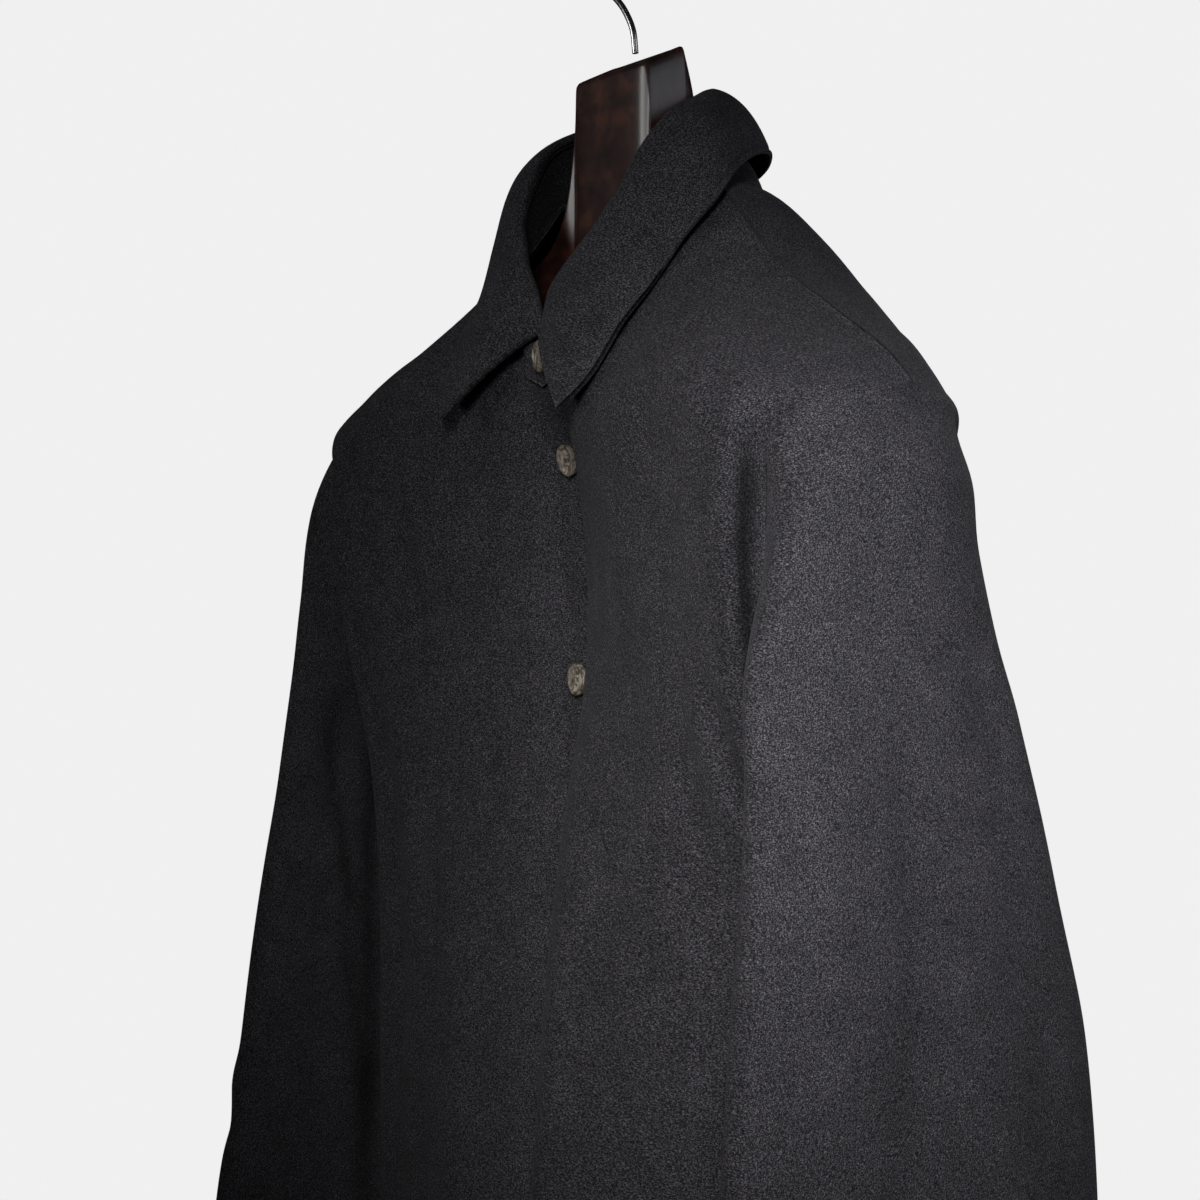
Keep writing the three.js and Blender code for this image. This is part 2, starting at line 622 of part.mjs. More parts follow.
// One station of the collar: its roll, foot and edge, the way down the stand and the way out of it.
// The foot keeps to the straight lines between the neckline's places, as the panels' edges do.
function collarStation(step) {
  const u = step / collarSteps;
  const before = Math.floor(step / 2);
  const seam = neckline[before].clone().lerp(neckline[Math.ceil(step / 2)], 0.5);
  const roll = rollCurve.getPoint(u);
  const raise = lapLift * (1 - smooth(lapReach, lapReach + lapBlend, seam.x));
  if (u > 0.5) [seam, roll].forEach((p) => (p.y -= raise));
  const edge = edgeCurve.getPoint(u);
  const down = seam.clone().sub(roll).normalize();
  const out = wayAlong(neckCurve, u).cross(down).normalize();
  if (out.dot(new THREE.Vector3(roll.x, roll.y, 0)) < 0) out.negate();
  const rise = curveAt(riseSteps, riseKnots, u);
  return { u, roll, seam, edge, rise, down, out };
}

function collarStand() {
  const outer = [];
  const inner = [];
  const add = (roll, foot, out) => {
    const shares = [0, 0.33, 0.67, 1];
    const line = shares.map((s) => roll.clone().lerp(foot, s));
    inner.push(line);
    outer.push(line.map((p) => p.clone().addScaledVector(out, collarWall)));
  };
  const forward = new THREE.Vector3(0, -1, 0);
  const end = (x, lift) => {
    const [, y, z] = collarRows[0].roll;
    const top = new THREE.Vector3(x, y - lift, z - standDrop - x * x * 0.012);
    const foot = new THREE.Vector3(x, neckFrontRows[0].y + collarWall / 2 - lift, neckZ(x) + 2 * seamGap);
    add(top, foot, forward);
  };
  end(standEnd, 0);
  end(standEnd / 2, 0);
  for (let step = 0; step <= collarSteps; step++) {
    const { roll, seam, down, out } = collarStation(step);
    const top = roll.clone().addScaledVector(down, standDrop);
    const foot = seam.clone().addScaledVector(down, -seamGap - 0.1).addScaledVector(out, -collarWall / 2);
    add(top, foot, out);
  }
  end(-standEnd / 2, lapLift);
  end(-standEnd, lapLift);
  return wall(outer, inner);
}

function collarLeaf() {
  const outer = [];
  const inner = [];
  // Places over the fold, as distances out of the stand and up from the roll line.
  const fold = [
    { out: 0, up: -standDrop + seamGap, backOut: collarWall, backUp: -standDrop + seamGap },
    { out: 0.7, up: -0.6, backOut: collarWall + 0.3, backUp: -2.3 },
    { out: 2.8, up: 0.8, backOut: collarWall + 0.9, backUp: -1.7 },
  ];
  const fallShares = [0.09, 0.28, 0.52, 0.77, 1];
  for (let step = 0; step <= collarSteps; step++) {
    const { u, roll, edge, rise, down, out } = collarStation(step);
    const place = (o, up) => roll.clone().addScaledVector(out, o).addScaledVector(down, -up);
    const start = place(4, 0.6);
    const bend = start.clone().lerp(edge, 0.35).addScaledVector(out, rise).addScaledVector(down, -3);
    const faceRow = fold.map((f) => place(f.out, f.up));
    const backRow = fold.map((f) => place(f.backOut, f.backUp));
    const along = wayAlong(edgeCurve, u);
    const fall = new THREE.QuadraticBezierCurve3(start, bend, edge);
    for (const share of fallShares) {
      const p = fall.getPoint(share);
      const normal = along.clone().cross(fall.getTangent(share)).normalize();
      if (normal.dot(new THREE.Vector3(out.x, out.y, 0.6)) < 0) normal.negate();
      faceRow.push(p);
      backRow.push(p.clone().addScaledVector(normal, -collarWall));
    }
    outer.push(faceRow);
    inner.push(backRow);
  }
  return wall(outer, inner);
}

// ---- Hard pieces ----

function closedLoft(sections) {
  const size = sections[0].length;
  const index = [];
  for (let s = 0; s < sections.length - 1; s++) {
    for (let k = 0; k < size; k++) {
      const a = s * size + k;
      const b = s * size + ((k + 1) % size);
      index.push(a, b, b + size, a, b + size, a + size);
    }
  }
  const last = (sections.length - 1) * size;
  for (let k = 1; k < size - 1; k++) {
    index.push(0, k + 1, k);
    index.push(last, last + k, last + k + 1);
  }
  const geometry = new THREE.BufferGeometry().setFromPoints(sections.flat());
  geometry.setIndex(index);
  return outward(geometry);
}

function hangerSection(row, side) {
  const places = [];
  const corners = [
    { y: row.back - row.round, z: row.top - row.round, start: 0 },
    { y: row.front + row.round, z: row.top - row.slant - row.round, start: 1 },
    { y: row.front + row.round, z: row.bottom + row.round, start: 2 },
    { y: row.back - row.round, z: row.bottom + row.round, start: 3 },
  ];
  for (const c of corners) {
    for (let k = 0; k <= hangerCorner; k++) {
      const angle = ((c.start + k / hangerCorner) * Math.PI) / 2;
      const y = c.y + row.round * Math.cos(angle);
      const z = c.z + row.round * Math.sin(angle);
      places.push(new THREE.Vector3(side * row.x, y, z));
    }
  }
  const foot = row.bottom + row.round;
  const head = row.top - row.round;
  swellShares.forEach((share, k) => {
    const z = THREE.MathUtils.lerp(foot, head, (k + 1) / (swellShares.length + 1));
    places.push(new THREE.Vector3(side * row.x, row.back + row.swell * share, z));
  });
  return places;
}

function hangerWood() {
  const right = hangerRows.slice(1).reverse().map((row) => hangerSection(row, -1));
  const left = hangerRows.map((row) => hangerSection(row, 1));
  return closedLoft([...right, ...left]);
}

function hangerHook() {
  const stem = [
    new THREE.Vector3(5, 3, woodTop + seamGap + 0.1 - hookSeat),
    new THREE.Vector3(3.5, 2.5, woodTop + 10),
    new THREE.Vector3(-3, 1.5, woodTop + 21),
    new THREE.Vector3(-13, 0.4, woodTop + 31),
  ];
  const crown = hookWire / 2 - hookRadius; // height of the loop's centre
  const loop = [];
  for (let degrees = 180; degrees >= -30; degrees -= 30) {
    const angle = THREE.MathUtils.degToRad(degrees);
    const x = hookRadius * Math.cos(angle);
    loop.push(new THREE.Vector3(x, 0, crown + hookRadius * Math.sin(angle)));
  }
  const section = new THREE.Shape().absarc(0, 0, hookWire / 2, 0, Math.PI * 2);
  return new THREE.ExtrudeGeometry(section, {
    steps: 36,
    curveSegments: 6,
    extrudePath: new THREE.CatmullRomCurve3([...stem, ...loop], false, "centripetal"),
  });
}

const buttonShape = { radius: 7.5, rim: 1.6, height: 2.8, dish: 0.9, holeRadius: 0.85, holeSpread: 1.6 };

function asSolid(geometry) {
  const merged = mergeVertices(bareCopy(geometry), 1e-4);
  const mesh = new wasm.Mesh({
    numProp: 3,
    vertProperties: merged.attributes.position.array,
    triVerts: new Uint32Array(merged.index.array),
  });
  return new wasm.Manifold(mesh);
}

function fromSolid(solid) {
  const mesh = solid.getMesh();
  const geometry = new THREE.BufferGeometry();
  geometry.setAttribute("position", new THREE.BufferAttribute(mesh.vertProperties, 3));
  geometry.setIndex(new THREE.BufferAttribute(mesh.triVerts, 1));
  return geometry;
}

// A dished button with four holes, its face towards +Z and its back at z = 0.
function buttonSolid() {
  const { radius, rim, height, dish, holeRadius, holeSpread } = buttonShape;
  const profile = [
    new THREE.Vector2(0, 0),
    new THREE.Vector2(radius - 1.2, 0),
    new THREE.Vector2(radius, 1),
    new THREE.Vector2(radius - 0.5, height - 0.4),
    new THREE.Vector2(radius - rim / 2, height),
    new THREE.Vector2(radius - rim - 0.6, height - dish),
    new THREE.Vector2(0, height - dish),
  ];
  const lathe = new THREE.LatheGeometry(profile, 20);
  lathe.rotateX(Math.PI / 2);
  let solid = asSolid(outward(mergeVertices(bareCopy(lathe), 1e-4)));
  for (const [x, y] of [[1, 1], [1, -1], [-1, 1], [-1, -1]]) {
    const hole = new THREE.CylinderGeometry(holeRadius, holeRadius, height * 3, 6);
    hole.rotateX(Math.PI / 2);
    hole.translate(x * holeSpread, y * holeSpread, 0);
    solid = solid.subtract(asSolid(hole));
  }
  return fromSolid(solid);
}

function bareCopy(geometry) {
  const bare = geometry.clone();
  bare.deleteAttribute("normal");
  bare.deleteAttribute("uv");
  return bare;
}

// ---- Assembly ----

const overshirt = new THREE.Group();
overshirt.name = "overshirt_on_hanger";

function piece(name, geometry, material) {
  const mesh = new THREE.Mesh(geometry, material);
  mesh.name = name;
  overshirt.add(mesh);
  return mesh;
}

piece("front_left", panel(grids.left, normals.left), wool);
piece("front_right", panel(grids.right, normals.right), wool);
piece("back", panel(grids.back, normals.back), wool);
piece("sleeve_left", sleeve(leftSleeveRows, 1, armholes.left), wool);
piece("sleeve_right", sleeve(rightSleeveRows, -1, armholes.right), wool);
piece("collar_stand", collarStand(), wool);
piece("collar_leaf", collarLeaf(), wool);
piece("hanger_wood", hangerWood(), darkWood);
piece("hanger_hook", hangerHook(), steel);

const button = buttonSolid();

// The overlap's centre line at height z: how far forward it is and how far it leans.
function lapAt(z) {
  const line = column(grids.left, neckColumns - neckFrontRows.length);
  const k = line.findIndex((p) => p.z < z);
  const drop = line[k - 1].z - line[k].z;
  const y = THREE.MathUtils.lerp(line[k - 1].y, line[k].y, (line[k - 1].z - z) / drop);
  return { y, lean: Math.atan((line[k].y - line[k - 1].y) / drop) };
}

// A button's back lies on the cloth at (x, z); its face looks forwards, leaning with the cloth.
function placeButton(name, x, z, { y, lean }) {
  const mesh = piece(name, button, horn);
  mesh.rotation.x = Math.PI / 2 + lean;
  mesh.position.set(x, y - buttonRest, z);
}

const standFront = collarRows[0].roll[1] - lapLift - collarWall;
placeButton("button_collar", collarButtonX, collarButtonZ, { y: standFront, lean: 0 });
for (let i = 0; i < frontButtons; i++) {
  const z = firstButtonZ - i * buttonPitch;
  placeButton(`button_front_${i + 1}`, 0, z, lapAt(z));
}

export default overshirt;
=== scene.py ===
import math

import bmesh
import bpy
import numpy as np
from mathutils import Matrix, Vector, noise


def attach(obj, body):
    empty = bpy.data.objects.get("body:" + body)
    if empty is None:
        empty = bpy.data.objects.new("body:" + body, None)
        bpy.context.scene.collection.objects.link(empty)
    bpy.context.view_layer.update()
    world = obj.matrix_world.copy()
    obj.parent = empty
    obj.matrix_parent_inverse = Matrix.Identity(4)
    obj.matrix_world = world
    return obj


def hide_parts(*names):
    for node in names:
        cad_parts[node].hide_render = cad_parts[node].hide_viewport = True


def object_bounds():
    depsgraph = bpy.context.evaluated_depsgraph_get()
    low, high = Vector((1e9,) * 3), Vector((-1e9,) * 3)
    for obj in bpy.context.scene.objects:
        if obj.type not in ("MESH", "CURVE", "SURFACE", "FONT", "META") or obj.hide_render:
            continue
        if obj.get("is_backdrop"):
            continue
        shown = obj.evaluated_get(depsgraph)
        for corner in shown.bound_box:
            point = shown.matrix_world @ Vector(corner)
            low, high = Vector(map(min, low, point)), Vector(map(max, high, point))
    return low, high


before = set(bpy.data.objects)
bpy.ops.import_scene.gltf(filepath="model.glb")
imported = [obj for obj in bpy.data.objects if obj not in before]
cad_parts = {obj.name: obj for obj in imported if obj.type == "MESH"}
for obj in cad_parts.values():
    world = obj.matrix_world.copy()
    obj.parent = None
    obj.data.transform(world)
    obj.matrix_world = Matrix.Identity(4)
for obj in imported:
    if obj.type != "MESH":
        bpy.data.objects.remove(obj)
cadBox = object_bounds()
print("frame loaded")

mm = 0.001

cameraSetup = {  # beside the wearer's left, level with the chest
    "place": (0.844, -0.5264, -0.2735),
    "turn": 58.7,  # degrees from straight on
    "dip": -2.3,
    "lens": 63.44,
    "sensor": 36,
}
cameraData = bpy.data.cameras.new("camera")
cameraData.lens = cameraSetup["lens"]
cameraData.sensor_width = cameraSetup["sensor"]
camera = bpy.data.objects.new("camera", cameraData)
bpy.context.collection.objects.link(camera)
turn, dip = math.radians(cameraSetup["turn"]), math.radians(cameraSetup["dip"])
ahead = Vector((-math.sin(turn) * math.cos(dip), math.cos(turn) * math.cos(dip), math.sin(dip)))
camera.location = cameraSetup["place"]
camera.rotation_euler = ahead.to_track_quat("-Z", "Y").to_euler()
bpy.context.scene.camera = camera
print("camera set")


# curves and blends on arrays, in millimetres
def smooth(low, high, value):
    t = np.clip((np.asarray(value, float) - low) / (high - low), 0, 1)
    return t * t * (3 - 2 * t)


def mix(a, b, t):
    return a + (b - a) * t


def bump(value, width):
    return np.exp(-((value / width) ** 2))


def cubic(a, b, ta, tb, t):  # from a to b, leaving and arriving at the slopes ta and tb
    return a + ta * t + (3 * (b - a) - 2 * ta - tb) * t**2 + (2 * (a - b) + ta + tb) * t**3


def curveAt(xs, ys, x):  # a smooth curve through knots, level past its ends
    x = np.asarray(x, float)
    knots = np.shape(ys)[-1]
    xs = np.broadcast_to(xs, x.shape + (knots,))
    ys = np.broadcast_to(ys, x.shape + (knots,))
    slope = np.diff(ys, axis=-1) / np.diff(xs, axis=-1)
    middle = (slope[..., 1:] + slope[..., :-1]) / 2
    tangent = np.concatenate([slope[..., :1], middle, slope[..., -1:]], axis=-1)
    held = np.clip(x, xs[..., 0], xs[..., -1])
    i = np.clip(np.sum(held[..., None] > xs[..., 1:-1], axis=-1), 0, knots - 2)[..., None]
    pick = lambda table, k: np.take_along_axis(table, k, axis=-1)[..., 0]
    a, b = pick(ys, i), pick(ys, i + 1)
    width = pick(xs, i + 1) - pick(xs, i)
    t = (held - pick(xs, i)) / width
    ta, tb = pick(tangent, i) * width, pick(tangent, i + 1) * width
    return cubic(a, b, ta, tb, t)


def columnOf(rows, name):
    return np.array([row[name] for row in rows], float)


def atHeight(rows, name, z):
    return curveAt(-columnOf(rows, "z"), columnOf(rows, name), -np.asarray(z, float))


class PlaceCurve:  # a centripetal curve through places in space
    def __init__(self, places):
        p = np.array(places, float)
        first, last = 2 * p[0] - p[1], 2 * p[-1] - p[-2]
        self.places = np.vstack([first, p, last])
        self.spans = len(p) - 1

    def at(self, u):  # u runs from 0 to 1
        u = np.clip(np.asarray(u, float), 0, 1) * self.spans
        i = np.minimum(u.astype(int), self.spans - 1)
        w = (u - i)[..., None]
        p0, p1, p2, p3 = (self.places[i + k] for k in range(4))
        gap = lambda a, b: np.maximum(np.sum((a - b) ** 2, axis=-1, keepdims=True) ** 0.25, 1e-4)
        d0, d1, d2 = gap(p0, p1), gap(p1, p2), gap(p2, p3)
        t1 = ((p1 - p0) / d0 - (p2 - p0) / (d0 + d1) + (p2 - p1) / d1) * d1
        t2 = ((p2 - p1) / d1 - (p3 - p1) / (d1 + d2) + (p3 - p2) / d2) * d1
        return cubic(p1, p2, t1, t2, w)


def unit(v):
    return v / np.maximum(np.linalg.norm(v, axis=-1, keepdims=True), 1e-9)


body = {  # the sizes that the pieces share, the same as the solids
    "wall": 2.0,
    "collarWall": 2.4,
    "lapReach": 18,
    "lapLift": 3.4,  # the left front lies this far in front of the right one
    "lapBlend": 26,
    "lapFlat": 11,
    "underLap": 8,
    "neckHalf": 60,
    "shoulderHalf": 228,
    "shoulderTop": (-12, -220),
    "neckSide": (3, -122),
    "shoulderDip": 4,
    "hemZ": -865,
    "armpitZ": -420,
    "sleeveHemZ": -822,
    "turnStart": 189,
    "turnRadius": 18,
    "sideSeamY": -2,
    "armpitReach": 2.8,
    "armholeWidth": 207,
    "armholeFoot": 0.19,
    "lapColumns": 8,
}
neckFrontRows = [
    dict(x=0, y=-39.5, z=-216),
    dict(x=22, y=-40.5, z=-206),
    dict(x=38, y=-40, z=-183),
    dict(x=46, y=-36, z=-167),
    dict(x=52, y=-27, z=-153),
    dict(x=57, y=-13, z=-138),
    dict(x=60, y=3, z=-122),
]
neckBackRows = [
    dict(x=60, y=3, z=-122),
    dict(x=55, y=21, z=-115),
    dict(x=46, y=35, z=-111),
    dict(x=28, y=47, z=-108),
    dict(x=0, y=52, z=-106),
]
stations = {"inner": 77, "outer": 125, "corner": 187, "end": 228}
leftFrontRows = [
    dict(z=-180, crestX=30, centre=-40, crest=-50, inner=-58, outer=-64, corner=-74, end=-74),
    dict(z=-216, crestX=30, centre=-36, crest=-50, inner=-60, outer=-66, corner=-76, end=-75),
    dict(z=-250, crestX=30, centre=-25, crest=-42, inner=-59, outer=-66, corner=-76, end=-75),
    dict(z=-300, crestX=28, centre=-21, crest=-35, inner=-54, outer=-62, corner=-73, end=-73),
    dict(z=-350, crestX=28, centre=-20, crest=-37, inner=-51, outer=-59, corner=-66, end=-66),
    dict(z=-400, crestX=30, centre=-20, crest=-47, inner=-57, outer=-59, corner=-57, end=-56),
    dict(z=-460, crestX=32, centre=-20, crest=-57, inner=-63, outer=-60, corner=-50, end=-46),
    dict(z=-530, crestX=35, centre=-21, crest=-66, inner=-70, outer=-62, corner=-47, end=-42),
    dict(z=-590, crestX=38, centre=-22, crest=-72, inner=-75, outer=-64, corner=-46, end=-40),
    dict(z=-730, crestX=40, centre=-24, crest=-76, inner=-79, outer=-66, corner=-46, end=-40),
    dict(z=-865, crestX=42, centre=-26, crest=-78, inner=-81, outer=-68, corner=-48, end=-42),
]
rightFrontRows = [
    dict(z=-180, crestX=34, crest=-46, inner=-57, outer=-60, corner=-60, end=-56),
    dict(z=-216, crestX=34, crest=-46, inner=-58, outer=-61, corner=-61, end=-58),
    dict(z=-250, crestX=36, crest=-37, inner=-50, outer=-58, corner=-63, end=-61),
    dict(z=-300, crestX=38, crest=-32, inner=-43, outer=-52, corner=-61, end=-62),
    dict(z=-350, crestX=38, crest=-30, inner=-38, outer=-46, corner=-53, end=-54),
    dict(z=-400, crestX=38, crest=-30, inner=-37, outer=-41, corner=-43, end=-43),
    dict(z=-460, crestX=38, crest=-32, inner=-39, outer=-40, corner=-37, end=-36),
    dict(z=-590, crestX=40, crest=-37, inner=-44, outer=-42, corner=-36, end=-34),
    dict(z=-730, crestX=42, crest=-42, inner=-48, outer=-44, corner=-37, end=-34),
    dict(z=-865, crestX=44, crest=-46, inner=-52, outer=-46, corner=-39, end=-36),
]
backStations = {"centre": 0, "inner": 60, "outer": 125, "corner": 187, "end": 228}
backRows = [
    dict(z=-150, centre=58, inner=59, outer=53, corner=36, end=20),
    dict(z=-220, centre=62, inner=62, outer=54, corner=36, end=22),
    dict(z=-250, centre=63, inner=63, outer=56, corner=36, end=26),
    dict(z=-350, centre=60, inner=65, outer=60, corner=43, end=38),
    dict(z=-460, centre=55, inner=63, outer=64, corner=51, end=46),
    dict(z=-600, centre=52, inner=66, outer=61, corner=51, end=46),
    dict(z=-730, centre=51, inner=68, outer=58, corner=51, end=46),
    dict(z=-865, centre=50, inner=70, outer=57, corner=51, end=46),
]
frontSlopeRows = [
    dict(x=0, slope=1.15),
    dict(x=60, slope=1.3),
    dict(x=78, slope=1.1),
    dict(x=110, slope=0.55),
    dict(x=140, slope=0.34),
    dict(x=170, slope=0.2),
    dict(x=200, slope=0.1),
    dict(x=228, slope=0),
]
overRows = [  # over the shoulder, from its seam to where the cloth hangs upright
    dict(t=0, edge=228, turn=230),
    dict(t=0.2, edge=226, turn=224),
    dict(t=0.4, edge=222, turn=215),
    dict(t=0.6, edge=218, turn=205),
    dict(t=0.8, edge=212, turn=196),
    dict(t=1, edge=207, turn=189),
]
seamColumns = [60, 78, 98, 120, 142, 164, 184, 201, 216, 228]
frontShares = [
    0, 0.05, 0.1, 0.155, 0.21, 0.27, 0.34, 0.42, 0.51, 0.6, 0.69, 0.77, 0.84, 0.9, 0.95, 1,
]
faceTops = {  # where each face begins to hang upright, and how much lower that is further out
    "front": dict(z=-232, fall=18, between=(140, 225)),
    "back": dict(z=-190, fall=60, between=(90, 225)),
}
backSlopes = {"neck": 0.4, "drop": (0.5, 53, 61), "rise": (0.4, 185, 228)}
panelRows = {"over": 34, "armhole": 50, "below": 128}  # rows of each part of a panel
panelColumns = {"front": 5, "back": 6}  # between each two knots of its top edge
panelShape = {
    "bendAbove": 6,  # the bend of the shoulder stays this far above the upright face
    "spare": 39,  # how much further the depth is read at the shoulder's seam
    "holeBlend": 0.03,
    "stretchFrom": 0.7,  # share of the width past which a panel widens under the arm
    "swellFrom": 0.08,
    "swellEdge": 0.93,
}


def frontDepth(x, z):
    x, z = np.broadcast_arrays(np.asarray(x, float), np.asarray(z, float))
    right = lambda name: atHeight(rightFrontRows, name, z)
    left = lambda name: atHeight(leftFrontRows, name, z)
    fixed = lambda value: np.full(z.shape, float(value))
    flat = body["lapFlat"]
    outward = ["inner", "outer", "corner", "end"]
    xs = [fixed(-stations[n]) for n in reversed(outward)] + [-right("crestX")]
    xs += [fixed(-flat), fixed(0), fixed(flat), left("crestX")]
    xs += [fixed(stations[n]) for n in outward]
    ys = [right(n) for n in reversed(outward)] + [right("crest")]
    ys += [left("centre")] * 3 + [left("crest")] + [left(n) for n in outward]
    return curveAt(np.stack(xs, -1), np.stack(ys, -1), x)


def backDepth(x, z):
    x, z = np.broadcast_arrays(np.asarray(x, float), np.asarray(z, float))
    ys = np.stack([atHeight(backRows, name, z) for name in backStations], -1)
    return curveAt(np.array(list(backStations.values()), float), ys, np.abs(x))


def shoulderSeam(x):
    along = (x - body["neckHalf"]) / (body["shoulderHalf"] - body["neckHalf"])
    y = mix(body["neckSide"][0], body["shoulderTop"][0], along)
    z = mix(body["neckSide"][1], body["shoulderTop"][1], along)
    return np.stack([x, y, z - body["shoulderDip"] * np.sin(np.pi * along)], -1)


def faceZ(part, x):
    top = faceTops[part]
    return top["z"] - top["fall"] * smooth(*top["between"], x)


def frontFaceZ(x):
    return faceZ("front", x)


def backFaceZ(x):
    return faceZ("back", x)


def turned(reach, turn):  # round the side of the body
    radius = body["turnRadius"]
    past = np.maximum(reach - turn, 0)
    angle = np.minimum(past / radius, np.pi / 2)
    straight = np.maximum(past - radius * np.pi / 2, 0)
    x = np.where(reach <= turn, reach, turn + radius * np.sin(angle))
    return x, radius * (1 - np.cos(angle)) + straight


def sideReach(depth):
    radius = body["turnRadius"]
    return body["turnStart"] + radius * np.pi / 2 + np.maximum(depth - radius, 0)


sideTopZ = frontFaceZ(body["shoulderHalf"])
armholeEnd = (sideTopZ - body["armpitZ"]) / (sideTopZ - body["hemZ"])


def panelGrid(top, shares, side, depthAt, upright, slopeAt, facing, sideDepth):
    turnStart, holeWidth = body["turnStart"], body["armholeWidth"]
    start = top[None, :, :]
    lap = shares < 0
    startX = start[..., 0] * side

    # from the top edge over the shoulder, down to where the face hangs upright
    t = np.linspace(0, 1, panelRows["over"])[:, None]
    edge = curveAt(columnOf(overRows, "t"), columnOf(overRows, "edge"), t)
    turnAt = curveAt(columnOf(overRows, "t"), columnOf(overRows, "turn"), t)
    reach = mix(startX, np.where(lap, startX, shares * edge), smooth(0, 1, t))
    x, back = turned(reach, turnAt)
    faceTop = upright(np.abs(reach))
    face = depthAt(side * reach, faceTop)
    bendZ = start[..., 2] - slopeAt(np.abs(startX)) * np.abs(face - start[..., 1])
    bendZ = np.maximum(bendZ, faceTop + panelShape["bendAbove"])
    z = (1 - t) ** 2 * start[..., 2] + 2 * t * (1 - t) * bendZ + t * t * faceTop
    depth = depthAt(side * np.minimum(reach, turnStart + panelShape["spare"] * (1 - t)), z)
    y = start[..., 1] + (depth - start[..., 1]) * (1 - (1 - t) ** 2) - facing * back
    over = np.stack([side * x, y, z], -1)
    overReach = side * reach

    # beside the armhole, then below it to the hem
    down = np.linspace(0, armholeEnd, panelRows["armhole"] + 1)[1:]
    down = np.concatenate([down, np.linspace(armholeEnd, 1, panelRows["below"] + 1)[1:]])[:, None]
    isBelow = down > armholeEnd + 1e-9
    width = sideReach(sideDepth(mix(sideTopZ, body["hemZ"], down)))
    holeFoot = smooth(body["armholeFoot"] - panelShape["holeBlend"], armholeEnd, down)
    edge = np.where(isBelow, width, mix(holeWidth, width, holeFoot))
    stretch = (edge - holeWidth) * smooth(panelShape["stretchFrom"], 1, shares)
    reach = np.where(lap, startX, shares * holeWidth + stretch)
    x, back = turned(reach, turnStart)
    z = mix(upright(np.minimum(np.abs(reach), body["shoulderHalf"])), body["hemZ"], down)
    y = depthAt(side * np.minimum(reach, turnStart), z) - facing * back
    swell = np.where(isBelow, 0, smooth(panelShape["swellFrom"], armholeEnd, down))
    x = x + body["armpitReach"] * swell * smooth(panelShape["swellEdge"], 1, shares)
    fall = np.stack([side * x, y, z], -1)
    return np.concatenate([over, fall]), np.concatenate([overReach, side * reach])


def spread(knots, steps):  # even places, this many steps between each two knots
    return np.linspace(0, len(knots) - 1, (len(knots) - 1) * steps + 1)


def bothHalves(half):  # from the centre front round by the right to the centre front again
    half = np.array(half, float)
    return np.vstack([half * [-1, 1, 1], half[-2::-1]])


neckRows = neckFrontRows + neckBackRows[1:]
neckCurve = PlaceCurve(bothHalves([(row["x"], row["y"], row["z"]) for row in neckRows]))
neckPlaces = {"front": 0, "shoulder": len(neckFrontRows) - 1, "back": len(neckRows) - 1}


def seamTop(side, first, steps):  # the neck from one of its places to the shoulder, and along that
    last = neckPlaces["shoulder"]
    places = np.linspace(first, last, abs(last - first) * steps + 1)
    neck = neckCurve.at(1 - places / neckCurve.spans)
    xs = np.interp(spread(seamColumns, steps), range(len(seamColumns)), seamColumns)
    top = np.vstack([neck, shoulderSeam(xs)[1:]])
    return top * np.array([side, 1, 1])


def lapLiftAt(x):  # how far forward the upper of the two fronts lies
    fade = smooth(body["lapReach"], body["lapReach"] + body["lapBlend"], x)
    return body["lapLift"] * (1 - fade)


def frontGrid(side):
    steps, lapCount = panelColumns["front"], body["lapColumns"]
    top = seamTop(side, neckPlaces["front"], steps)
    knots = np.interp(spread(frontShares, steps), range(len(frontShares)), frontShares)
    lapX = np.linspace(-body["lapReach"], 0, lapCount + 1)[:-1]
    lapZ = curveAt(columnOf(neckFrontRows, "x"), columnOf(neckFrontRows, "z"), -lapX)
    lap = np.stack([side * lapX, np.full(lapCount, neckFrontRows[0]["y"]), lapZ], -1)
    slopes = columnOf(frontSlopeRows, "x"), columnOf(frontSlopeRows, "slope")
    grid, reach = panelGrid(
        np.vstack([lap, top]),
        np.concatenate([np.full(lapCount, -1.0), knots]),
        side,
        frontDepth if side > 0 else lambda x, z: frontDepth(np.minimum(x, body["underLap"]), z),
        frontFaceZ,
        lambda x: curveAt(*slopes, x),
        -1,
        lambda z: body["sideSeamY"] - frontDepth(side * body["turnStart"], z),
    )
    if side > 0:
        grid[..., 1] -= lapLiftAt(grid[..., 0])
    return grid, reach


def backSlope(x):
    drop, *dropAt = backSlopes["drop"]
    rise, *riseAt = backSlopes["rise"]
    return backSlopes["neck"] - drop * smooth(*dropAt, x) + rise * smooth(*riseAt, x)


def backGrid():
    halves = []
    for side in (1, -1):
        top = seamTop(side, neckPlaces["back"], panelColumns["back"])
        halves.append(
            panelGrid(
                top,
                np.linspace(0, 1, len(top)),
                side,
                backDepth,
                backFaceZ,
                backSlope,
                1,
                lambda z: backDepth(body["turnStart"], z) - body["sideSeamY"],
            )
        )
    return tuple(np.concatenate([right[:, :0:-1], left], axis=1) for left, right in zip(*halves))


def gridNormals(grid, ring=False):  # across turned to down: the way that a side decides
    down = np.gradient(grid, axis=0)
    if ring:
        across = np.roll(grid, -1, axis=1) - np.roll(grid, 1, axis=1)
    else:
        across = np.gradient(grid, axis=1)
    return unit(np.cross(across, down))


# darkPerLift: painted shade that a trough gets for each mm of its depth, where a fold gives no dark
# share of its own
foldDefaults = {"bow": 0, "soft": 0.25, "lean": 1, "darkPerLift": 0.06}
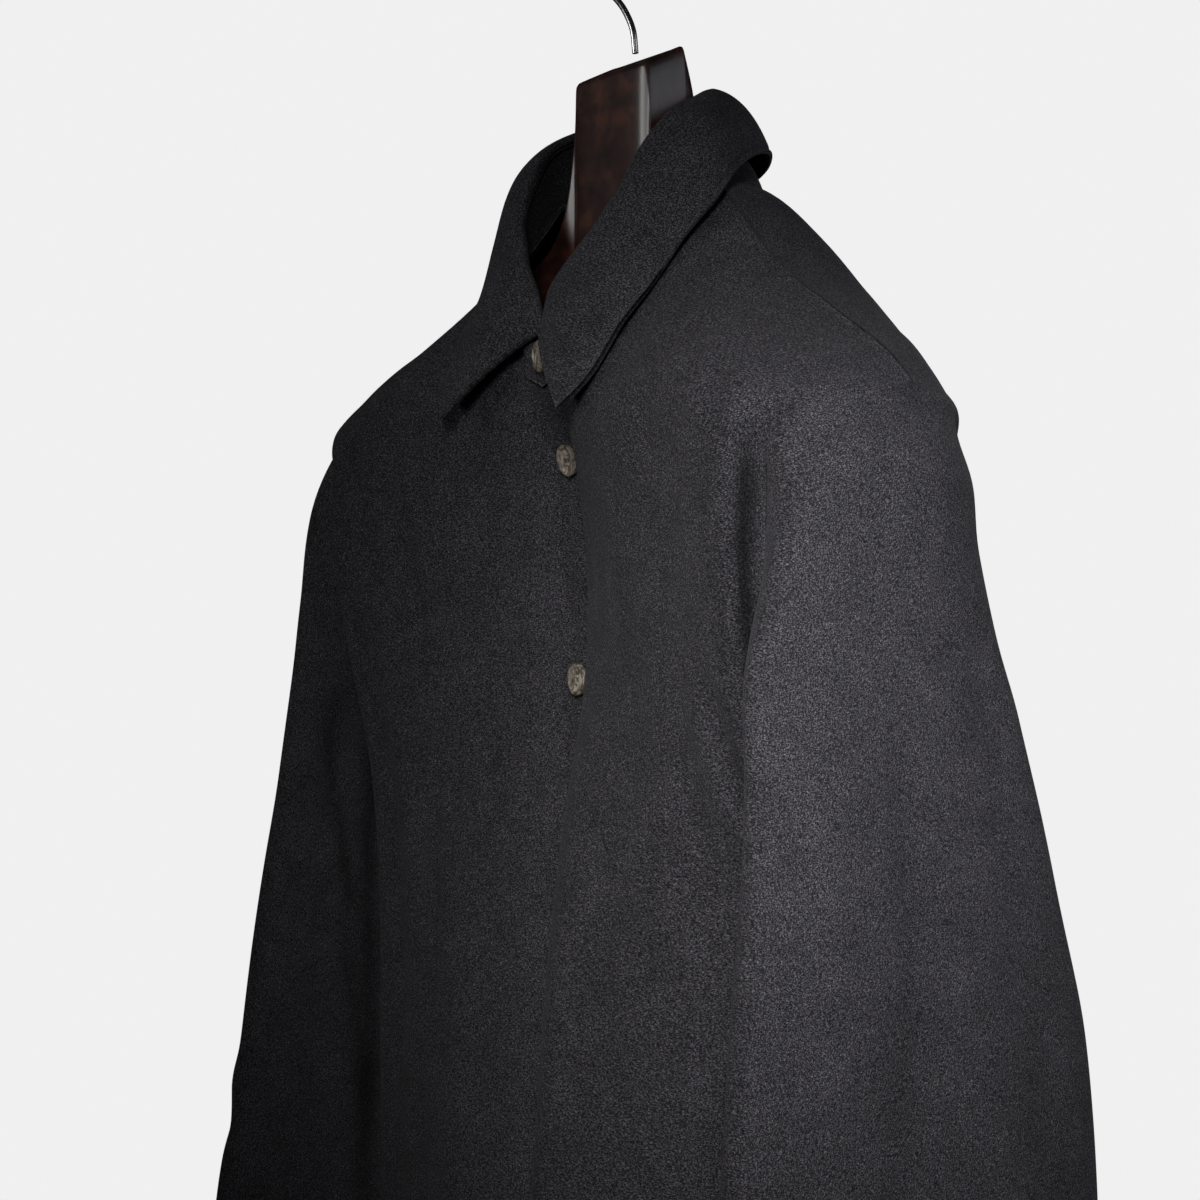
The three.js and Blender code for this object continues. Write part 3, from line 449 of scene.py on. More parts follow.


# soft troughs (lift below 0) and ridges along bowed lines, in mm across and height, with painted
# shade laid along them
def foldLift(across, height, folds, around=None):  # the lift, and the painted shade that darkens the cloth's colour along the folds, 0 to 1
    lift, hollow = np.zeros(across.shape), np.zeros(across.shape)
    for f in folds:
        (x0, z0), (x1, z1) = f["start"], f["end"]
        length = math.hypot(x1 - x0, z1 - z0)
        ux, uz = (x1 - x0) / length, (z1 - z0) / length
        for turn in (0,) if around is None else (-around, 0, around):
            a = across + turn
            along = ((a - x0) * ux + (height - z0) * uz) / length
            off = (a - x0) * -uz + (height - z0) * ux
            bow = f.get("bow", foldDefaults["bow"])
            off = off - bow * (1 - (2 * np.clip(along, 0, 1) - 1) ** 2)
            soft = f.get("soft", foldDefaults["soft"])
            taper = smooth(-soft, soft, along) * (1 - smooth(1 - soft, 1 + soft, along))
            wide = f["width"] * np.where(off > 0, f.get("lean", foldDefaults["lean"]), 1)
            form = taper * np.exp(-((off / wide) ** 2))
            lift += f["lift"] * form
            # painted shade: a fold's dark share, or by default a share of a trough's depth, darkens
            # the cloth's colour along it
            hollow += f.get("dark", max(0, -foldDefaults["darkPerLift"] * f["lift"])) * form
    return lift, np.clip(hollow, 0, 1)


swellShape = {"tall": 0.4, "apart": 7.3, "height": 1.6, "finer": 3}
clothSwell = {  # mm high and mm across, the broad swell and the fine one
    "panel": ((0.5, 55), (0.25, 22)),
    "sleeve": ((0.6, 60), (0.25, 24)),
}


def waves(points, size, seed):  # slow uneven swell, about -1 to 1, longer up and down
    flat = points.reshape(-1, 3) * np.array([1, 1, swellShape["tall"]]) / size
    flat = flat + seed * swellShape["apart"]
    value = [noise.noise(Vector(p)) for p in flat.tolist()]
    return swellShape["height"] * np.array(value).reshape(points.shape[:-1])


def swellOf(kind, points, seed):
    (broad, broadSize), (fine, fineSize) = clothSwell[kind]
    finer = waves(points, fineSize, seed + swellShape["finer"])
    return broad * waves(points, broadSize, seed) + fine * finer


def edgeDistance(grid, sides):  # mm from the named edges of a sheet, along its rows or columns
    acrossStep = np.linalg.norm(np.diff(grid, axis=1), axis=-1)
    downStep = np.linalg.norm(np.diff(grid, axis=0), axis=-1)
    zeroCol = np.zeros((grid.shape[0], 1))
    zeroRow = np.zeros((1, grid.shape[1]))
    far = {
        "left": np.hstack([zeroCol, np.cumsum(acrossStep, axis=1)]),
        "right": np.hstack([np.cumsum(acrossStep[:, ::-1], axis=1)[:, ::-1], zeroCol]),
        "top": np.vstack([zeroRow, np.cumsum(downStep, axis=0)]),
        "bottom": np.vstack([np.cumsum(downStep[::-1], axis=0)[::-1], zeroRow]),
    }
    return np.min([far[s] for s in sides], axis=0)


shellShape = {"lip": 0.7, "sewn": 0.1}  # mm rounded off a free edge, mm added to a sewn one
allEdges = ("top", "left", "bottom", "right")


# a closed wall between two grids, with a rim all round it
def shell(name, outer, inner, ring=False, lip=shellShape["lip"], free=allEdges, hollow=None):
    rows, cols = outer.shape[:2]
    ids = np.arange(rows * cols).reshape(rows, cols)
    wrap = np.hstack([ids, ids[:, :1]]) if ring else ids
    face = np.stack([wrap[:-1, :-1], wrap[1:, :-1], wrap[1:, 1:], wrap[:-1, 1:]], -1).reshape(-1, 4)
    count = rows * cols
    if ring:
        loops = [(ids[0], ids[1]), (ids[-1], ids[-2])]
    else:
        rim = np.concatenate([ids[0], ids[1:, -1], ids[-1, -2::-1], ids[-2:0:-1, 0]])
        r, c = np.clip(rim // cols, 1, rows - 2), np.clip(rim % cols, 1, cols - 2)
        loops = [(rim, r * cols + c)]
    flatOuter, flatInner = outer.reshape(-1, 3).copy(), inner.reshape(-1, 3).copy()
    points = [flatOuter, flatInner]
    quads = [face, face[:, ::-1] + count]
    base = 2 * count
    for edge, inside in loops:
        way = unit(flatOuter[edge] - flatOuter[inside])
        middle = (flatOuter[edge] + flatInner[edge]) / 2
        r, c = edge // cols, edge % cols
        isOn = {"top": r == 0, "bottom": r == rows - 1, "left": c == 0, "right": c == cols - 1}
        isFree = np.zeros(len(edge), bool)
        for side, on in isOn.items():
            isFree |= on & (side in free)
        pull = way * np.where(isFree, lip, -shellShape["sewn"])[:, None]
        flatOuter[edge] -= pull
        flatInner[edge] -= pull
        points.append(middle + way * np.where(isFree, 0, shellShape["sewn"])[:, None])
        k = np.arange(len(edge))
        m, n = base + k, base + np.roll(k, -1)
        e, f = edge, np.roll(edge, -1)
        quads.append(np.stack([f, e, m, n], -1))
        quads.append(np.stack([n, m, e + count, f + count], -1))
        base += len(edge)
    points = np.vstack(points)
    quads = np.vstack(quads)
    if ring:  # the foot's rim runs the other way round
        size = cols * 2
        quads[-size:] = quads[-size:, ::-1]
    a, b, c, d = (points[quads[:, k]] for k in range(4))
    volume = np.sum(np.cross(a, b) * c) + np.sum(np.cross(a, c) * d)
    if volume < 0:
        quads = quads[:, ::-1]
    mesh = bpy.data.meshes.new(name)
    mesh.from_pydata((points * mm).tolist(), [], quads.tolist())
    closed = np.concatenate([outer, outer[:, :1]], axis=1) if ring else outer
    across = np.zeros(closed.shape[:2])
    across[:, 1:] = np.cumsum(np.linalg.norm(np.diff(closed, axis=1), axis=-1), axis=1)
    across -= across[:, closed.shape[1] // 2][:, None]
    down = np.zeros(closed.shape[:2])
    down[:-1] = np.cumsum(np.linalg.norm(np.diff(closed, axis=0), axis=-1)[::-1], axis=0)[::-1]
    rowOf, colOf = np.divmod(np.arange(count), cols)
    place = np.stack([across[rowOf, colOf], down[rowOf, colOf]], -1)
    allUv = np.vstack([place, place] + [place[edge] for edge, _ in loops])
    loopVert = quads.ravel()
    flatUv = allUv[loopVert].reshape(-1, 4, 2)
    if ring:  # a face over the join takes its far corners' places from the closing column
        total = across[:, -1] - across[:, 0]
        wide = flatUv[:, :, 0].max(axis=1) - flatUv[:, :, 0].min(axis=1) > total.mean() / 2
        low = flatUv[:, :, 0] < 0
        flatUv[:, :, 0] += np.where(wide[:, None] & low, total.mean(), 0)
    uv = mesh.uv_layers.new(name="cloth")
    uv.data.foreach_set("uv", (flatUv * mm).ravel())
    mesh.polygons.foreach_set("use_smooth", np.ones(len(mesh.polygons), bool))
    # painted shade from the folds, stored on the points for the wool to darken its colour by
    if hollow is not None:
        depth = hollow.ravel()
        depth = np.concatenate([depth, depth] + [depth[edge] for edge, _ in loops])
        layer = mesh.attributes.new("hollow", "FLOAT", "POINT")
        layer.data.foreach_set("value", depth.astype(np.float32))
    piece = bpy.data.objects.new(name, mesh)
    bpy.context.collection.objects.link(piece)
    return piece


def finishCloth(piece, node, material):
    piece.data.materials.append(material)
    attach(piece, "root")
    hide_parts(node)
    print(piece.name, len(piece.data.polygons), "faces")


# materials: one maker of nodes for each, and the same few steps in all of them
def feed(node, links, sources):
    for socket, source in sources.items():
        if isinstance(source, bpy.types.NodeSocket):
            links.new(source, node.inputs[socket])
        else:
            node.inputs[socket].default_value = source


def newMaterial(name):
    material = bpy.data.materials.new(name)
    material.use_nodes = True
    tree = material.node_tree

    def make(kind, sources=None, **values):
        node = tree.nodes.new("ShaderNode" + kind)
        for key, value in values.items():
            setattr(node, key, value)
        feed(node, tree.links, sources or {})
        return node

    def dress(**sources):  # onto the shader's own sockets, by their names without the gaps
        shader = tree.nodes["Principled BSDF"]
        sockets = {s.name.replace(" ", ""): s.name for s in shader.inputs if s.enabled}
        feed(shader, tree.links, {sockets[key]: source for key, source in sources.items()})

    return material, make, dress


def noiseOf(make, place, scale, detail, **more):
    sources = {"Vector": place, "Scale": scale, "Detail": detail, **more}
    return make("TexNoise", sources).outputs["Fac"]


def stretched(make, place, scale, turn=(0, 0, 0)):
    return make("Mapping", {"Vector": place, "Scale": scale, "Rotation": turn}).outputs[0]


def between(make, source, low, high, start=0, end=1):  # low at start, high at end
    return make("MapRange", {"Value": source, 1: start, 2: end, 3: low, 4: high}).outputs[0]


def sumOf(make, one, two, share=1):
    if share == 1:
        return make("Math", {0: one, 1: two}, operation="ADD").outputs[0]
    return make("Math", {0: one, 1: share, 2: two}, operation="MULTIPLY_ADD").outputs[0]


def timesOf(make, one, two):
    return make("Math", {0: one, 1: two}, operation="MULTIPLY").outputs[0]


def toned(make, source, tones):  # tones: places along the source, each with its colour
    ramp = make("ValToRGB", {"Fac": source})
    stops = ramp.color_ramp.elements
    (stops[0].position, stops[0].color), (stops[1].position, stops[1].color) = tones[0], tones[-1]
    for place, colour in tones[1:-1]:
        stops.new(place).color = colour
    return ramp.outputs["Color"]


def raised(make, source, strength, distance, under=None):
    sources = {"Height": source, "Strength": strength, "Distance": distance}
    if under:
        sources["Normal"] = under
    return make("Bump", sources).outputs["Normal"]


woolLook = {
    "tones": [
        (0.42, (0.0055, 0.0051, 0.0060, 1)),
        (0.50, (0.0162, 0.0153, 0.0182, 1)),
        (0.61, (0.136, 0.129, 0.141, 1)),
        (0.70, (0.23, 0.22, 0.23, 1)),  # lint
    ],
    "fleck": (680, 2300, 2300),  # flecks per metre, about
    "streak": (1500, 600, 1),
    "share": (0.75, 0.25),  # of the flecks and of the streaks
    "twillTurn": 35,  # degrees
    "patch": 60,
    "patchTone": (0.84, 1.16),
    "hollowTone": 0.15,  # share of the colour left under full painted shade, in the deepest crease
    "rough": (0.82, 0.98),
    "shine": 0.12,
    "sheen": (0.025, 0.5, (0.8, 0.79, 0.82, 1)),
    "nap": (0.28, 0.0004),
    "softness": (0.25, 0.002),
}


def woolMaterial(name):
    look = woolLook
    material, make, dress = newMaterial(name)
    place = make("TexCoord").outputs["Object"]
    flat = make("UVMap", uv_map="cloth").outputs["UV"]
    twill = stretched(make, flat, (1, 1, 1), (0, 0, math.radians(look["twillTurn"])))
    fleck = noiseOf(make, stretched(make, place, look["fleck"]), 1, 4, Roughness=0.75)
    streak = noiseOf(make, stretched(make, twill, look["streak"]), 1, 3, Roughness=0.7)
    fleckShare, streakShare = look["share"]
    blend = sumOf(make, fleck, timesOf(make, streak, streakShare), fleckShare)
    broad = noiseOf(make, place, look["patch"], 3, Roughness=0.6)
    patch = between(make, broad, *look["patchTone"], 0.3, 0.7)
    # painted shade: the folds' attribute darkens the base colour, down to the tone given above
    hollow = make("Attribute", attribute_name="hollow").outputs["Fac"]
    shade = between(make, hollow, 1, look["hollowTone"])
    colour = toned(make, blend, look["tones"])
    scale = timesOf(make, patch, shade)
    tone = make("VectorMath", {0: colour, "Scale": scale}, operation="SCALE").outputs[0]
    sheen, sheenRough, sheenTint = look["sheen"]
    nap = raised(make, blend, *look["nap"])
    dress(
        BaseColor=tone,
        Roughness=between(make, streak, *look["rough"]),
        SpecularIORLevel=look["shine"],
        SheenWeight=sheen,
        SheenRoughness=sheenRough,
        SheenTint=sheenTint,
        Normal=raised(make, broad, *look["softness"], nap),
    )
    return material


wool = woolMaterial("charcoalWool")


backGridPlaces, backReach = backGrid()
frontPlaces = {side: frontGrid(side) for side in (1, -1)}
armRows = panelRows["over"] + panelRows["armhole"]  # rows that end on the armhole's edge

# by height: the front and back ends of the flattened tube, and half its thickness
leftSleeveRows = [
    dict(z=-225, frontX=212, frontY=-71, backX=230, backY=9, half=12),
    dict(z=-250, frontX=214, frontY=-77, backX=240, backY=21, half=20),
    dict(z=-287, frontX=217.5, frontY=-80, backX=237.8, backY=16.4, half=18),
    dict(z=-321, frontX=220, frontY=-82, backX=237.8, backY=17.6, half=17.4),
    dict(z=-350, frontX=222.3, frontY=-85, backX=240.6, backY=23.4, half=18.5),
    dict(z=-411, frontX=227, frontY=-91, backX=246.5, backY=34.8, half=21.3),
    dict(z=-472, frontX=232, frontY=-100, backX=250.8, backY=47.2, half=23.2),
    dict(z=-580, frontX=239, frontY=-108, backX=254, backY=54.2, half=25.6),
    dict(z=-700, frontX=243, frontY=-106, backX=253.5, backY=46, half=24.3),
    dict(z=-822, frontX=242, frontY=-94, backX=248.5, backY=37, half=22.3),
]
rightSleeveRows = [
    dict(z=-225, frontX=213.5, frontY=-63, backX=230, backY=6, half=10),
    dict(z=-250, frontX=218, frontY=-70.5, backX=233, backY=12, half=15),
    dict(z=-321, frontX=216, frontY=-70.5, backX=238, backY=20, half=17),
    dict(z=-411, frontX=221, frontY=-78.5, backX=244, backY=38, half=20.5),
    dict(z=-472, frontX=228.5, frontY=-85.5, backX=249, backY=46, half=23.5),
    dict(z=-520, frontX=235.8, frontY=-90.5, backX=251, backY=49, half=24.5),
    dict(z=-580, frontX=245, frontY=-96.2, backX=255, backY=52, half=25.5),
    dict(z=-660, frontX=260, frontY=-104.5, backX=262, backY=48, half=25),
    dict(z=-700, frontX=263.5, frontY=-105.5, backX=264.5, backY=46, half=25),
    dict(z=-822, frontX=266, frontY=-88, backX=266, backY=34, half=23),
]
sleeveSetup = {
    "steps": 168,
    "closer": 1.35,  # rows lie closer together towards the armhole
    "flatness": 0.8,
    "capReach": 62,
    "around": 400,  # mm of cloth round the tube
}


def sleeveGrid(rows, side, armhole, topIndex):
    gaps = np.linalg.norm(np.roll(armhole, -1, axis=0) - armhole, axis=1)
    reach = np.concatenate([[0], np.cumsum(gaps)])
    count = len(armhole)
    i = np.arange(count)
    front = -np.pi / 2 + np.pi * reach[:-1] / reach[topIndex]
    back = np.pi / 2 + np.pi * (reach[:-1] - reach[topIndex]) / (reach[count] - reach[topIndex])
    angle = np.where(i <= topIndex, front, back)[None, :]
    step = np.linspace(0, 1, sleeveSetup["steps"])[:, None] ** sleeveSetup["closer"]
    start = armhole[None, :, :]
    z = mix(start[..., 2], body["sleeveHemZ"], step)
    value = lambda name: atHeight(rows, name, z)
    frontEnd = np.stack([value("frontX"), value("frontY")], -1)
    backEnd = np.stack([value("backX"), value("backY")], -1)
    middle, along = (frontEnd + backEnd) / 2, (frontEnd - backEnd) / 2
    across = unit(np.stack([-along[..., 1], along[..., 0]], -1)) * value("half")[..., None]
    flat = np.sign(np.sin(angle)) * np.abs(np.sin(angle)) ** sleeveSetup["flatness"]
    place = middle + along * np.cos(angle)[..., None] + across * flat[..., None]
    drop = np.minimum(1, (start[..., 2] - z) / sleeveSetup["capReach"])
    leave = 1 - (1 - drop) ** 3
    x = mix(np.broadcast_to(start[..., 0], z.shape), side * place[..., 0], leave)
    y = mix(np.broadcast_to(start[..., 1], z.shape), place[..., 1], leave)
    around = np.degrees(angle) / 360 * sleeveSetup["around"]
    return np.stack([x, y, z], -1), np.broadcast_to(around, z.shape)


# the shoulder's seam and the top of each armhole are rounded over, in mm
ease = {
    "armhole": {1: 4.2, -1: 1.6},
    "back": 0.35,  # share taken off behind the shoulder
    "backAt": (-5, 15),
    "topAt": (-300, -245),
    "reach": 34,
}
shoulderDrop = {
    "x": (66, 74, 82, 92, 102, 114, 128, 144, 160, 180, 200, 228),
    "drop": (0, -3, -3.6, -1.8, 0.6, 3.2, 4.4, 3.8, 2.3, 1.4, 0.9, 1.4),
    "reach": (22, 90),
}


def easeShare(distance):
    return ((1 - np.clip(distance / ease["reach"], 0, 1)) ** 2)[..., None]


def easeShoulder(grid):
    drop = curveAt(shoulderDrop["x"], shoulderDrop["drop"], np.abs(grid[..., 0]))[..., None]
    share = 1 - smooth(*shoulderDrop["reach"], edgeDistance(grid, ["top"]))[..., None]
    grid -= drop * share * np.array([0, 0, 1.0])


def easeArmhole(side, rows):  # moves the panels' edges and the sleeve's edge together
    front, edge = frontPlaces[side][0], -1 if side > 0 else 0
    back, backEdge = backGridPlaces, "right" if side > 0 else "left"
    armhole = np.vstack([front[:armRows, -1][::-1], back[1 : armRows - 1, edge]])
    sleeve, around = sleeveGrid(rows, side, armhole, armRows - 1)
    facing = np.vstack([
        -side * gridNormals(front)[:armRows, -1][::-1],
        gridNormals(back)[1 : armRows - 1, edge],
    ])
    facing = unit(facing - side * gridNormals(sleeve, ring=True)[1])
    amount = ease["armhole"][side] * (1 - ease["back"] * smooth(*ease["backAt"], armhole[:, 1]))
    shift = -facing * (amount * smooth(*ease["topAt"], armhole[:, 2]))[:, None]
    sleeve += shift[None] * easeShare(fromTop(sleeve))
    frontShare = easeShare(edgeDistance(front, ["right"]))[:armRows]
    front[:armRows] += shift[:armRows][::-1, None] * frontShare
    backShift = np.vstack([shift[armRows - 1], shift[armRows:], shift[:1]])
    backShare = easeShare(edgeDistance(back, [backEdge]))[:armRows]
    back[:armRows] += backShift[:, None] * backShare
    return sleeve, around


def fromTop(grid):  # mm down each column from the first row
    steps = np.linalg.norm(np.diff(grid, axis=0), axis=-1)
    return np.vstack([np.zeros((1, grid.shape[1])), np.cumsum(steps, axis=0)])


for grid in (frontPlaces[1][0], frontPlaces[-1][0], backGridPlaces):
    easeShoulder(grid)
sleevePlaces = {1: easeArmhole(1, leftSleeveRows), -1: easeArmhole(-1, rightSleeveRows)}
print("cloth placed")

# in all the fold tables, dark is painted shade along a fold; troughs without it still get some by
# their depth
leftFrontFolds = [
    dict(start=(166, -200), end=(191, -246), lift=-0.9, width=5),
    # the armpit crease: its dark strip is mostly painted shade, deeper than the shallow trough
    # itself
    dict(start=(200, -250), end=(194, -406), lift=-2.4, width=4.6, soft=0.1, lean=1.4, dark=1),
    dict(start=(196, -372), end=(182, -418), lift=-1.8, width=3.6, soft=0.2, dark=0.8),
    # hardly a fold: painted shade where the panel turns away beside the armhole
    dict(start=(183, -216), end=(183, -390), lift=0.2, width=9, dark=0.24),
    dict(start=(150, -345), end=(177, -406), lift=1.6, width=8, lean=1.3),
    dict(start=(166, -338), end=(187, -396), lift=-1.8, width=6),
    dict(start=(138, -362), end=(160, -420), lift=-1.0, width=9),
    dict(start=(170, -392), end=(176, -418), lift=-1.6, width=4),
    dict(start=(118, -262), end=(112, -470), lift=0.9, width=16, bow=4),
    dict(start=(96, -320), end=(90, -520), lift=-0.8, width=14, bow=-3),
    dict(start=(140, -440), end=(132, -800), lift=1.3, width=15, bow=5),
    dict(start=(158, -470), end=(152, -860), lift=-1.2, width=11, bow=-3),
    dict(start=(82, -600), end=(86, -860), lift=1.1, width=12),
]
rightFrontFolds = [
    dict(start=(-33, -232), end=(-34, -420), lift=0.9, width=8),
    # two shallow creases with painted shade along them
    dict(start=(-118, -280), end=(-119, -345), lift=-1.1, width=4, dark=0.22),
    dict(start=(-115, -420), end=(-115, -510), lift=-1.1, width=4, dark=0.22),
    dict(start=(-70, -300), end=(-66, -560), lift=-0.8, width=10, bow=4),
    dict(start=(-150, -330), end=(-140, -520), lift=1.6, width=12, bow=-6),
    dict(start=(-172, -350), end=(-168, -700), lift=-1.4, width=9, bow=5),
    dict(start=(-92, -520), end=(-96, -860), lift=1.2, width=13),
    dict(start=(-132, -560), end=(-128, -860), lift=-1.1, width=10),
]
backFolds = [
    dict(start=(-46, -250), end=(-58, -860), lift=1.8, width=18, bow=6),
    dict(start=(-24, -300), end=(-20, -800), lift=-1.6, width=14, bow=-4),
    dict(start=(58, -280), end=(66, -840), lift=2.0, width=17, bow=-7),
    dict(start=(30, -420), end=(34, -860), lift=-1.4, width=13),
    dict(start=(104, -330), end=(112, -700), lift=-1.6, width=14, bow=4),
    dict(start=(-108, -320), end=(-118, -780), lift=-1.9, width=15, bow=-5),
    dict(start=(150, -300), end=(178, -410), lift=2.4, width=9, lean=1.3),
    dict(start=(166, -292), end=(190, -396), lift=-2.0, width=8),
    dict(start=(-146, -296), end=(-176, -402), lift=2.2, width=9, lean=1.3),
    dict(start=(-164, -288), end=(-189, -390), lift=-1.8, width=8),
    dict(start=(146, -470), end=(140, -860), lift=1.5, width=14, bow=5),
    dict(start=(-150, -520), end=(-142, -860), lift=1.3, width=13, bow=-4),
]


seamDip = {"depth": 0.25, "width": 2, "calm": (2, 26), "sleeveCalm": (0, 18)}


def finishPanel(name, node, places, outSign, folds, seed, seams):
    grid, reach = places
    normal = outSign * gridNormals(grid)
    toSeam = edgeDistance(grid, seams)
    # the folds' painted shade goes with the shell, to darken the wool's colour in the creases
    lift, hollow = foldLift(reach, grid[..., 2], folds)
    lift += swellOf("panel", grid, seed)
    lift = lift * smooth(*seamDip["calm"], toSeam)
    lift = lift - seamDip["depth"] * bump(toSeam, seamDip["width"])
    outer = grid + normal * lift[..., None]
    inner = outer - outSign * gridNormals(outer) * body["wall"]
    free = ("bottom",) if "left" in seams else ("bottom", "left")
    piece = shell(name, outer, inner, free=free, hollow=hollow)
    finishCloth(piece, node, wool)
    return outer


leftOuter = finishPanel(
    "frontLeft", "front_left", frontPlaces[1], -1, leftFrontFolds, 1, ["right"]
)
finishPanel(
    "frontRight",
    "front_right",
    frontPlaces[-1],
    1,
    rightFrontFolds,
    2,
    ["right"],
)
backPlaces = backGridPlaces, backReach
finishPanel(
    "backPanel", "back", backPlaces, 1, backFolds, 3, ["left", "right"]
)

leftSleeveFolds = [  # across: mm round the tube, 0 at its front end, 100 at its outer side; dark is painted shade along a fold
    dict(start=(-4, -246), end=(-2, -352), lift=4.4, width=15),
    dict(start=(-3, -236), end=(-1, -262), lift=-0.9, width=4),
    dict(start=(8, -240), end=(12, -268), lift=0.8, width=6),
    dict(start=(20, -246), end=(22, -284), lift=-0.7, width=7),
    dict(start=(94, -352), end=(85, -520), lift=-1.8, width=8, bow=3, dark=0.2),
    dict(start=(66, -300), end=(66, -470), lift=1.2, width=15, bow=-4),
    dict(start=(118, -480), end=(104, -720), lift=1.6, width=14, bow=6),
    dict(start=(40, -470), end=(30, -640), lift=-1.2, width=12, bow=-4),
    dict(start=(-14, -520), end=(28, -560), lift=1.6, width=8),
    dict(start=(-20, -545), end=(30, -586), lift=-1.5, width=8),
    dict(start=(160, -560), end=(112, -610), lift=1.8, width=9),
    dict(start=(164, -590), end=(118, -636), lift=-1.6, width=9),
    dict(start=(20, -640), end=(34, -820), lift=1.2, width=13),
    dict(start=(150, -300), end=(146, -520), lift=-1.3, width=12, bow=-5),
    dict(start=(176, -330), end=(196, -560), lift=1.6, width=13),
]
# dark: painted shade in the creases between the far sleeve and the body
rightSleeveFolds = [
    dict(start=(-2, -238), end=(-6, -300), lift=-1.0, width=6),
    dict(start=(-50, -318), end=(-82, -420), lift=-4, width=8, dark=0.7),
    dict(start=(-80, -405), end=(-104, -680), lift=-2, width=6, dark=0.6),
    dict(start=(-73, -500), end=(-95, -606), lift=-1.4, width=5, dark=0.35),
    dict(start=(-8, -312), end=(-40, -352), lift=2.2, width=8),
    dict(start=(-39, -370), end=(-78, -492), lift=-1.8, width=5, dark=0.4),
    dict(start=(-60, -430), end=(-74, -560), lift=1.6, width=9),
    dict(start=(24, -360), end=(16, -560), lift=1.4, width=14, bow=-5),
    dict(start=(70, -320), end=(60, -520), lift=-1.3, width=12),
    dict(start=(100, -420), end=(92, -700), lift=1.5, width=14, bow=5),
    dict(start=(-18, -560), end=(26, -596), lift=1.7, width=9),
    dict(start=(-22, -588), end=(24, -622), lift=-1.5, width=9),
    dict(start=(156, -540), end=(118, -596), lift=1.8, width=10),
    dict(start=(160, -572), end=(120, -624), lift=-1.6, width=9),
    dict(start=(140, -300), end=(150, -500), lift=-1.3, width=12),
]


def finishSleeve(name, node, side, folds, seed):
    grid, around = sleevePlaces[side]
    outSign = -side
    normal = outSign * gridNormals(grid, ring=True)
    seam = fromTop(grid)
    # the folds' painted shade goes with the shell, to darken the wool's colour in the creases
    lift, hollow = foldLift(around, grid[..., 2], folds, sleeveSetup["around"])
    lift += swellOf("sleeve", grid, seed)
    lift = lift * smooth(*seamDip["sleeveCalm"], seam)
    lift = lift - seamDip["depth"] * bump(seam, seamDip["width"])
    outer = grid + normal * lift[..., None]
    inner = outer - outSign * gridNormals(outer, ring=True) * body["wall"]
    piece = shell(name, outer, inner, ring=True, free=("bottom",), hollow=hollow)
    finishCloth(piece, node, wool)


finishSleeve("sleeveLeft", "sleeve_left", 1, leftSleeveFolds, 5)
finishSleeve("sleeveRight", "sleeve_right", -1, rightSleeveFolds, 6)


# above each place of the neckline: roll line, leaf's outer edge, bow of the fall
collarRows = [
    dict(roll=(3, -39.5, -190), edge=(55, -69, -228.5), rise=6.5),
    dict(roll=(10, -39, -171), edge=(69.5, -61, -214), rise=6.5),
    dict(roll=(22, -37, -157), edge=(77, -49.5, -192), rise=7),
    dict(roll=(31, -33, -147), edge=(82, -36, -174), rise=9),
    dict(roll=(41, -29, -132), edge=(87, -24, -155), rise=12),
    dict(roll=(46, -21, -113), edge=(90, -8, -137), rise=14),
    dict(roll=(50, -9, -96), edge=(82, 8, -122.5), rise=15),
    dict(roll=(44, 8, -87), edge=(68, 28.5, -112.5), rise=13.5),
    dict(roll=(34, 22, -81), edge=(53, 46.5, -109), rise=11),
    dict(roll=(19, 38, -78.5), edge=(30, 60, -113), rise=9),
    dict(roll=(0, 45, -78), edge=(0, 66, -117), rise=8),
]
collar = {"seamGap": 0.3, "standDrop": 3}
stand = {
    "end": 16,  # the overlap's halves run this far past the middle
    "meet": 1.2,
    "endColumns": 8,
    "curve": 0.012,
    "columns": 201,
    "rows": 12,
    "lip": 0.5,
    "footClear": 0.4,
}
leaf = {
    "rightFuller": (-0.1, 0.65),  # how much fuller the fall is on the right, low and high up
    "fullerFrom": (-138, -102),
    "fullerPast": (5, 40),
    "start": (4, 0.6),  # out from the stand and down, where the fall begins
    "bendShare": 0.35,
    "bendDrop": 3,
    "endShare": 0.018,  # of the collar's length, with closer columns
    "endColumns": 14,
    "columns": 230,
    "upward": 0.6,
    "rows": (0.02, 0.88, 22),
    "edgeRows": 13,
    "lip": 0.8,
    # out from the stand and down, round the turn at the top: the face, then what lies under it
    "faceTurn": [(0.2, -1.6), (0.7, -0.6), (1.6, 0.4), (2.8, 0.8)],
    "underTurn": [(0.15, -2.6), (0.3, -2.3), (0.6, -1.9), (0.9, -1.7)],
}
leafStitch = {"in": 2.9, "deep": 0.95, "wide": 0.8, "rimIn": 1.2, "rimHigh": 0.35, "rimWide": 1.0}
leafSwell = {"high": 0.35, "size": 30, "seed": 8, "calm": (3, 14), "fall": (4, 9)}
rollCurve = PlaceCurve(bothHalves([row["roll"] for row in collarRows]))
edgeCurve = PlaceCurve(bothHalves([row["edge"] for row in collarRows]))


def wayAlong(curve, u):
    return curve.at(u + 0.02) - curve.at(u - 0.02)


def collarStations(u):  # roll, foot, the way down the stand and the way out of it
    seam, roll = neckCurve.at(u), rollCurve.at(u)
    lift = np.where(u > 0.5, lapLiftAt(seam[:, 0]), 0)
    seam[:, 1] -= lift
    roll[:, 1] -= lift
    down = unit(seam - roll)
    out = unit(np.cross(wayAlong(neckCurve, u), down))
    out *= np.where(np.sum(out[:, :2] * roll[:, :2], axis=1) < 0, -1, 1)[:, None]
    return roll, seam, down, out


